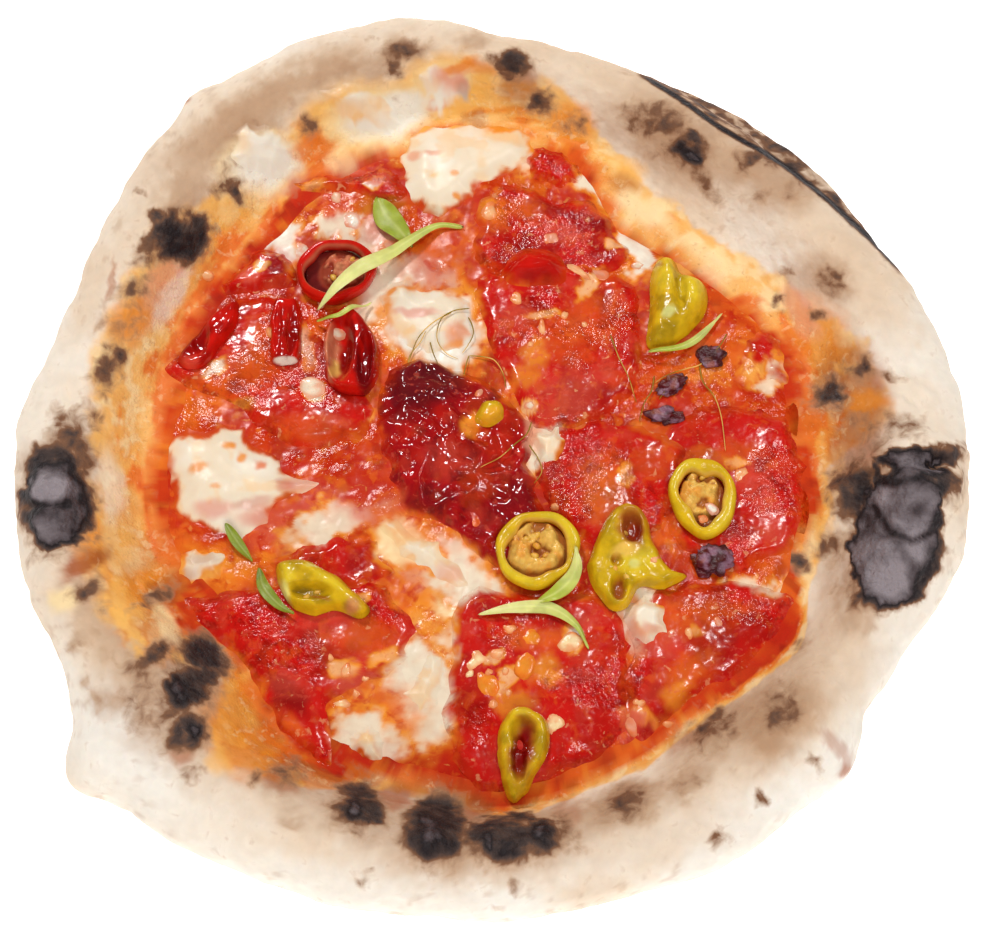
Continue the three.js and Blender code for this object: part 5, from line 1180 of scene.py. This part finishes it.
rings = {
    "chili_green_ring_low": {"x": 13.5, "y": -38, "rx": 13, "ry": 12.5, "wall": 3.6, "height": 4.6, "seeds": 4.2,
        "lean": (0, 0.05), "pith": (0, 0.4, 0.8)},
    "chili_green_ring_right": {"x": 65.5, "y": -21, "rx": 10.5, "ry": 13, "wall": 3.8, "height": 5.2, "seeds": 3.6,
        "lean": (0, 0.06), "pith": (-1.5, 2.5, 0.76)},
    "chili_red_ring": {"x": -52, "y": 59.5, "rx": 13, "ry": 11, "wall": 3.2, "height": 5.4, "seeds": 3.4,
        "lean": (0, 0.1), "pith": (2.5, 1.5, 0.66), "red": True},
}
for name, ring in rings.items():
    chiliRing(name, ring)
print("chilies made")

# Roasted scraps of onion: crumpled, half-sunk balls.
scraps = {
    "scrap_dark_low": {"x": 67, "y": -41, "rx": 6.5, "ry": 6, "rz": 2.6, "turn": 0},
    "scrap_dark_middle": {"x": 57.5, "y": 19, "rx": 5.5, "ry": 3.6, "rz": 2, "turn": 35},
    "scrap_dark_inner": {"x": 55, "y": 8.5, "rx": 6, "ry": 3, "rz": 1.8, "turn": 0},
    "scrap_dark_right": {"x": 71, "y": 29, "rx": 4.6, "ry": 4, "rz": 2, "turn": 0},
}


def scrap(name, piece):
    x0, y0 = piece["x"], piece["y"]
    seed = seedOf(name)
    floor = levelAt(draped(heights, 2), x0, y0)

    def shapeOf(u, v):
        nx, ny, nz = ball(u, v)
        crumple = 1 + 0.3 * fractal(nx, ny, nz, 0.9, 3, seed) - 0.25 * np.abs(fractal(nx, ny, nz, 0.5, 2, seed + 7))
        dx, dy = turned(nx * piece["rx"] * crumple, ny * piece["ry"] * crumple, piece["turn"])
        z = floor + piece["rz"] * (0.3 + 0.7 * np.maximum(nz, -0.6) * crumple)
        x, y = x0 + dx, y0 + dy
        colours = clouded(base("plum", len(u)), x, y, z, seed, ("mauve", 0.85, -0.3, 0.5, 2.6, 3, 2),
                          ("rust", 0.5, 0.1, 0.8, 3, 2, 4), ("coal", 0.5, 0.2, 0.9, 3.5, 2, 3))
        return x, y, z, colours, 1, 0

    bm = bmesh.new()
    surface(bm, 64, 40, shapeOf)
    finishPiece(bm, "baked_" + name, roastedOnion, name, "roasted_scrap")


for name, piece in scraps.items():
    scrap(name, piece)


# Sprouts are thin strips along a smooth line.
def smoothPath(points, count):
    points = np.asarray(points, float)
    padded = np.vstack([2 * points[0] - points[1], points, 2 * points[-1] - points[-2]])
    t = np.linspace(0, len(points) - 1, 400)
    i = np.minimum(np.floor(t).astype(int), len(points) - 2)
    f = (t - i)[:, None]
    a, b, c, d = (padded[i + k] for k in range(4))
    fine = curveThrough(a, b, c, d, f)
    along = np.concatenate([[0], np.cumsum(np.linalg.norm(np.diff(fine, axis=0), axis=1))])
    wanted = np.linspace(0, along[-1], count)
    return np.stack([np.interp(wanted, along, fine[:, k]) for k in range(fine.shape[1])], axis=1)


def evened(levels, reach):   # each level becomes the mean of those within reach of it along the line
    span = 2 * reach + 1
    return np.convolve(np.pad(levels, reach, mode="edge"), np.ones(span) / span, mode="valid")


def onPath(path, levels, along, u):   # place, level and direction at a share u of the path
    last = len(path) - 1
    return (np.interp(u * last, np.arange(last + 1), c) for c in (*path.T, levels, *along.T))


def leaf(name, piece):
    shape = {"taper": 0.25, "lift": 1.2, "wave": 0.6, "thick": 0.45, "tone": "leaf", "tip": "leafPale", "dark": 0,
             **piece}
    path = smoothPath(shape["points"], 61)
    seed = seedOf(name)
    levels = evened(heightAt(draped(heights, 3), *path.T), 6)   # a leaf is too stiff for small dips
    along = np.gradient(path, axis=0)
    along /= np.linalg.norm(along, axis=1)[:, None]

    def shapeOf(u, v):
        x0, y0, z0, ax, ay = onPath(path, levels, along, u)
        a = 2 * np.pi * v
        side, up = np.cos(a), np.sin(a)
        blade = np.maximum(shape["taper"], np.sin(np.pi * np.clip(u * 0.92 + 0.08, 0, 1)))
        end = np.sqrt(np.clip(1 - (2 * u - 1) ** 16, 0, 1))   # closes both ends
        half = 0.5 * shape["width"] * blade * end
        cup = shape["wave"] * side ** 2 * np.sin(2 * np.pi * u + 0.6)
        ripple = 0.12 * shape["width"] * side * np.sin(9 * u + seed) * np.abs(side)
        rib = 0.25 * np.exp(-(side / 0.16) ** 2)
        skin = (shape["thick"] / 2 * up + rib * (up > 0)) * end
        z = z0 + 0.5 + shape["lift"] * np.sin(np.pi * u) + np.maximum(0, cup) + ripple + skin
        x, y = x0 - ay * side * half, y0 + ax * side * half
        colours = mixed(base(shape["tone"], len(u)), shape["tip"], smooth(0.2, 0.9, u) * 0.8)
        colours = mixed(colours, "leafPale", 0.5 * np.exp(-(side / 0.2) ** 2))
        colours = mixed(colours, "leafDark", 0.2 * smooth(0.1, 0.9, fractal(x, y, z, 6, 3, seed)) + shape["dark"])
        return x, y, z, colours, 1, 0

    bm = bmesh.new()
    surface(bm, 60, 24, shapeOf)
    finishPiece(bm, "baked_" + name, sproutLeaf, name, "sprout", merge=1e-5)


leaves = {
    "leaf_long": {"points": [(-58, 45), (-48, 55), (-38, 62), (-29, 70), (-19, 77), (-10, 77)], "width": 5,
        "taper": 0.3, "tone": "leafPale", "tip": "leaf", "lift": 3},
    "leaf_long_stalk": {"points": [(-58, 42), (-51, 41), (-45, 45), (-40, 49)], "width": 1.8, "taper": 0.5},
    "leaf_back": {"points": [(-39, 88), (-36, 81), (-31, 75), (-27, 70)], "width": 9, "taper": 0.15, "dark": 0.25,
        "tip": "leaf"},
    "leaf_low_upright": {"points": [(13, -55), (20, -52), (25, -46), (25.5, -38)], "width": 5, "lift": 2},
    "leaf_low_across": {"points": [(-5, -59), (6, -57), (17, -57), (25, -62), (29, -70)], "width": 4,
        "tone": "leafPale", "tip": "leaf"},
    "leaf_left": {"points": [(-84, -29), (-80, -35), (-75, -41)], "width": 3.6, "dark": 0.55, "tip": "leaf"},
    "leaf_left_low": {"points": [(-73, -43), (-71, -50), (-66, -56), (-61, -59)], "width": 4, "dark": 0.55,
        "tip": "leaf"},
    "leaf_right": {"points": [(50, 30), (58, 31), (66, 35), (75, 45)], "width": 2.6, "taper": 0.35, "dark": 0.1},
}
for name, piece in leaves.items():
    leaf(name, piece)
print("sprouts made")

salamiFat = foodMaterial(   # soft fat that has taken up the paprika's oil
    "rendered salami fat", {"Roughness": 0.2, "Specular IOR Level": 0.35, "Subsurface Weight": 0.1,
                            "Subsurface Radius": (0.003, 0.0015, 0.0007), "Subsurface Scale": 0.3},
    grain=1.0, depth=0.1, swell=3, swellDepth=0.3, mottle=0.08)
chiliSeed = foodMaterial(   # smooth, hard seed, wet from the flesh
    "chili seed", {"Roughness": 0.3, "Specular IOR Level": 0.4}, grain=0.5, depth=0.03, mottle=0.06)
rootHair = foodMaterial(   # dry, fibrous root
    "dried sprout root", {"Roughness": 0.45, "Specular IOR Level": 0.4})


# Half-sunk rounded bits. A place: tone, x, y, width, depth, turn.
def bits(name, places, material, slot, rise, segments, rings, stainTone):
    bm = bmesh.new()
    for k, (tone, x0, y0, width, depth, turn) in enumerate(places):
        floor = levelAt(heights, x0, y0)

        def shapeOf(u, v):
            nx, ny, nz = ball(u, v)
            lumpy = 1 + 0.25 * fractal(nx + 9 * k, ny, nz, 0.9, 2, 7)
            dx, dy = turned(nx * width / 2 * lumpy, ny * depth / 2 * lumpy, turn)
            x, y = x0 + dx, y0 + dy
            z = lerp(heightAt(heights, x, y), floor, 0.3) + rise * (nz * lumpy - 0.6)
            colours = clouded(base(tone, len(u)), x, y, z, k, ("orange", 0.5, -0.2, 0.9, 2.5, 2, 0))
            colours = mixed(colours, stainTone, 0.6 * smooth(0.95, 0.65, nz))
            return x, y, z, colours, 0.8, 0

        surface(bm, segments, rings, shapeOf)
    finishPiece(bm, name, material, None, slot, merge=1e-6)


fatBits = [
    ("butter", -5.4, -73.2, 7.3, 6.4), ("fat", 1.3, -71.3, 5.3, 5), ("amber", 9.1, -74.7, 8.6, 6.4),
    ("amber", -2.1, -81, 9.2, 7.8), ("fat", -0.2, -86.9, 3.3, 2.8), ("amber", 11.3, -65.9, 7.3, 5.7),
    ("butter", 23.2, -67.5, 9.2, 6.4), ("butter", 18.3, -93, 6.6, 6.4), ("blush", 41.4, -92.4, 8.6, 5),
    ("fat", 4.9, -63.1, 4, 3.2), ("fat", -1.5, -76.9, 2.6, 2.8), ("butter", -7.2, -77.6, 3, 2.8),
    ("fat", 3.4, -76.3, 3, 2.5), ("fat", 4.3, -83.2, 2.6, 2.5), ("fat", -1.2, 82.8, 4.6, 7.8),
    ("blush", 19.4, 72.6, 6.6, 5.3), ("butter", 27.5, 60.3, 3.3, 9.2), ("fat", 15.7, 39.4, 6.6, 2.8),
    ("fat", 7.6, 50.3, 5.3, 4.3), ("blush", 34.7, 59.5, 7.3, 5), ("ivory", 48, 63.2, 4.6, 3.5),
    ("fat", 23.3, 44.5, 3.3, 2.8), ("fat", 11.8, 33.6, 2.6, 2.5), ("fat", 29.7, 40.8, 3, 2.5),
    ("ivory", -59, 18, 9.2, 8.5), ("ivory", 11.6, 11.7, 3.6, 3.2), ("blush", -4.4, 16.2, 5.3, 3.5),
    ("fat", 19.2, -22.6, 3, 2.8), ("milk", 68.2, -25.2, 5.3, 3.5), ("fat", 65.3, -28.6, 3.3, 2.8),
    ("fat", 78.5, -12.1, 6.6, 5), ("fat", -45, -76.3, 4.6, 3.5), ("fat", -49.7, -72.2, 3, 2.5),
    ("fat", -41.5, -83.2, 4.6, 3.5), ("butter", -46.2, -86.3, 5.3, 2.8), ("fat", -38.9, -78.5, 2.6, 2.5),
    ("ivory", -53.1, 89.3, 4.6, 4.3), ("milk", -64.1, 68.5, 8.6, 7.1), ("milk", -47.2, 79.8, 7.9, 5.7),
    ("fat", -95, 59.2, 5.3, 3.5), ("fat", 49.9, -41.8, 4, 2.8), ("fat", 59.8, -64.3, 4.6, 2.8),
    ("blush", 69.1, -61.1, 4, 2.8), ("fat", 43.9, -86.3, 4, 3.5), ("fat", 52.7, -92.4, 3.3, 2.8),
    ("ivory", -56.8, 48.1, 3.3, 2.8), ("ivory", -51.2, 37.2, 4, 7.1), ("fat", -72.6, 37.2, 4, 2.8),
]
bits("fat_bits", [(*bit, 37 * k % 180) for k, bit in enumerate(fatBits)], salamiFat, "salami", 0.75, 18, 12, "orange")
seeds = [   # near each of these places
    (10, -36), (13, -34), (17, -36), (12, -40), (16, -41), (19, -39), (14, -37.5), (62, -16), (66, -14), (64, -20),
    (61, -22), (40, -33), (37, -44), (41, -47), (-49, 60), (-46, 63), (-52, 57), (-54, -51), (-58, -53),
]
bits("chili_seeds", [("seed", x + 0.8 * math.sin(7 * k), y + 0.8 * math.cos(5 * k), 2.6, 2.0, 53 * k)
                     for k, (x, y) in enumerate(seeds)], chiliSeed, "pickled_chili", 0.9, 8, 5, "olive")

hairs = [   # fine roots of the sprouts, as points along each
    [(-27.7, 26.6), (-26.8, 30.5), (-23.9, 34.1), (-22, 37.7)], [(-20.7, 34.1), (-19.7, 30.5), (-18, 26.6)],
    [(-8, 29.8), (-8.9, 26.2), (-9.6, 22)], [(-8, 29.8), (-3.1, 29.1), (0.4, 27.7), (3, 23.4), (4, 18.4)],
    [(11.2, -2.1), (13.7, -6.2), (15.2, -11.4), (12.7, -15.1)], [(12.2, 6.5), (10.9, 2.4), (8.7, -0.7), (2.6, -6.2),
    (-4.3, -10.7)], [(-7.7, 46.8), (-13.6, 44.6), (-17.2, 41.3), (-18.4, 34.8), (-15.4, 30.5), (-11.2, 28.4)],
    [(-13.6, 44.6), (-19.4, 40.6), (-24.9, 34.8), (-27.7, 27.3)], [(-8.4, 43.5), (-7.1, 40.6), (-6.7, 37),
    (-8.3, 33.4), (-10.3, 30.5)], [(52, 22.7), (50.9, 17), (48.5, 12.8), (46.7, 6.5)], [(66.7, 27), (67.7, 20.6),
    (71.3, 14.6), (72.9, 6.5), (73.7, -4.5)], [(70.7, 29.8), (66.7, 26.2), (62.1, 24.8), (56.2, 22.7), (51.9, 19.9)],
    [(57.5, 22.7), (56.1, 18.4), (53.3, 14.2)], [(76.2, 37.7), (73.4, 32.7), (69.4, 29.1)], [(38, 37), (40.5, 28),
    (43.5, 21), (46, 13)],
]
floor = draped(heights, 1)
bm = bmesh.new()
for k, points in enumerate(hairs):
    path = smoothPath(points, 41)
    levels = evened(heightAt(floor, *path.T), 3)

    def shapeOf(u, v):
        x0, y0, z0, ax, ay = onPath(path, levels, np.gradient(path, axis=0), u)
        a = 2 * np.pi * v
        thin = 0.24 * (1 - 0.5 * u) * np.sqrt(np.clip(1 - (2 * u - 1) ** 20, 0, 1))
        length = np.hypot(ax, ay) + 1e-9
        x, y = x0 - ay / length * np.cos(a) * thin, y0 + ax / length * np.cos(a) * thin
        colours = clouded(base("moss", len(u)), x, y, 0, k, ("seed", 1, -0.3, 0.6, 8, 2, 0))
        return x, y, z0 + 0.35 + 0.9 * np.sin(np.pi * u) + np.sin(a) * thin, colours, 1, 0

    surface(bm, 40, 6, shapeOf)
finishPiece(bm, "sprout_root_hairs", rootHair, None, "sprout", merge=1e-7)
print("small things made")

stage = {"floorSize": 6.0, "floorLevel": -0.0005, "floorTone": "#F7F6F4", "floorGlow": 0.8,   # so no shadow shows
         "room": 0.33, "mirroredRoom": 0.05}   # wet food mirrors a dimmer room
bpy.ops.mesh.primitive_plane_add(size=stage["floorSize"], location=(0, 0, stage["floorLevel"]))
floorPlane = bpy.context.object
floorPaper = bpy.data.materials.new("white studio paper")
floorPaper.use_nodes = True
for socket, value in {"Base Color": linear(stage["floorTone"]), "Roughness": 0.9, "Emission Color": (1, 1, 1, 1),
                      "Emission Strength": stage["floorGlow"]}.items():
    floorPaper.node_tree.nodes["Principled BSDF"].inputs[socket].default_value = value
floorPlane.data.materials.append(floorPaper)

scene = bpy.context.scene
scene.view_settings.view_transform = "Standard"
world = bpy.data.worlds.new("soft white room")
world.use_nodes = True
background = world.node_tree.nodes["Background"]
background.inputs["Color"].default_value = (1, 1, 1, 1)
mirrored = addNode(world.node_tree, "ShaderNodeLightPath").outputs["Is Glossy Ray"]
dimmed = ranged(world.node_tree, mirrored, 0, 1, stage["room"], stage["mirroredRoom"])
world.node_tree.links.new(dimmed, background.inputs["Strength"])
scene.world = world


def addLight(name, place, size, power, glints=True):   # metres and watts
    light = bpy.data.lights.new(name, "AREA")
    light.size, light.energy = size, power
    lamp = bpy.data.objects.new(name, light)
    lamp.location = place
    lamp.rotation_euler = (Vector((0, 0, 0)) - Vector(place)).to_track_quat("-Z", "Y").to_euler()
    lamp.visible_glossy = glints
    scene.collection.objects.link(lamp)


addLight("window", (-0.42, 0.9, 1.2), 0.18, 10.5)
addLight("overhead", (0.5, 0.3, 1.3), 0.1, 4)
addLight("fill", (0.1, -1.3, 0.8), 1.2, 12, glints=False)

camera = bpy.data.cameras.new("camera")
camera.lens, camera.sensor_width = eye["lens"], eye["sensor"]
cameraObject = bpy.data.objects.new("camera", camera)
target = toMetres(*eye["target"])
cameraObject.location = toMetres(*eyePlace)
cameraObject.rotation_euler = (Vector(target) - cameraObject.location).to_track_quat("-Z", "Y").to_euler()
scene.collection.objects.link(cameraObject)
scene.camera = cameraObject

print("stage set")
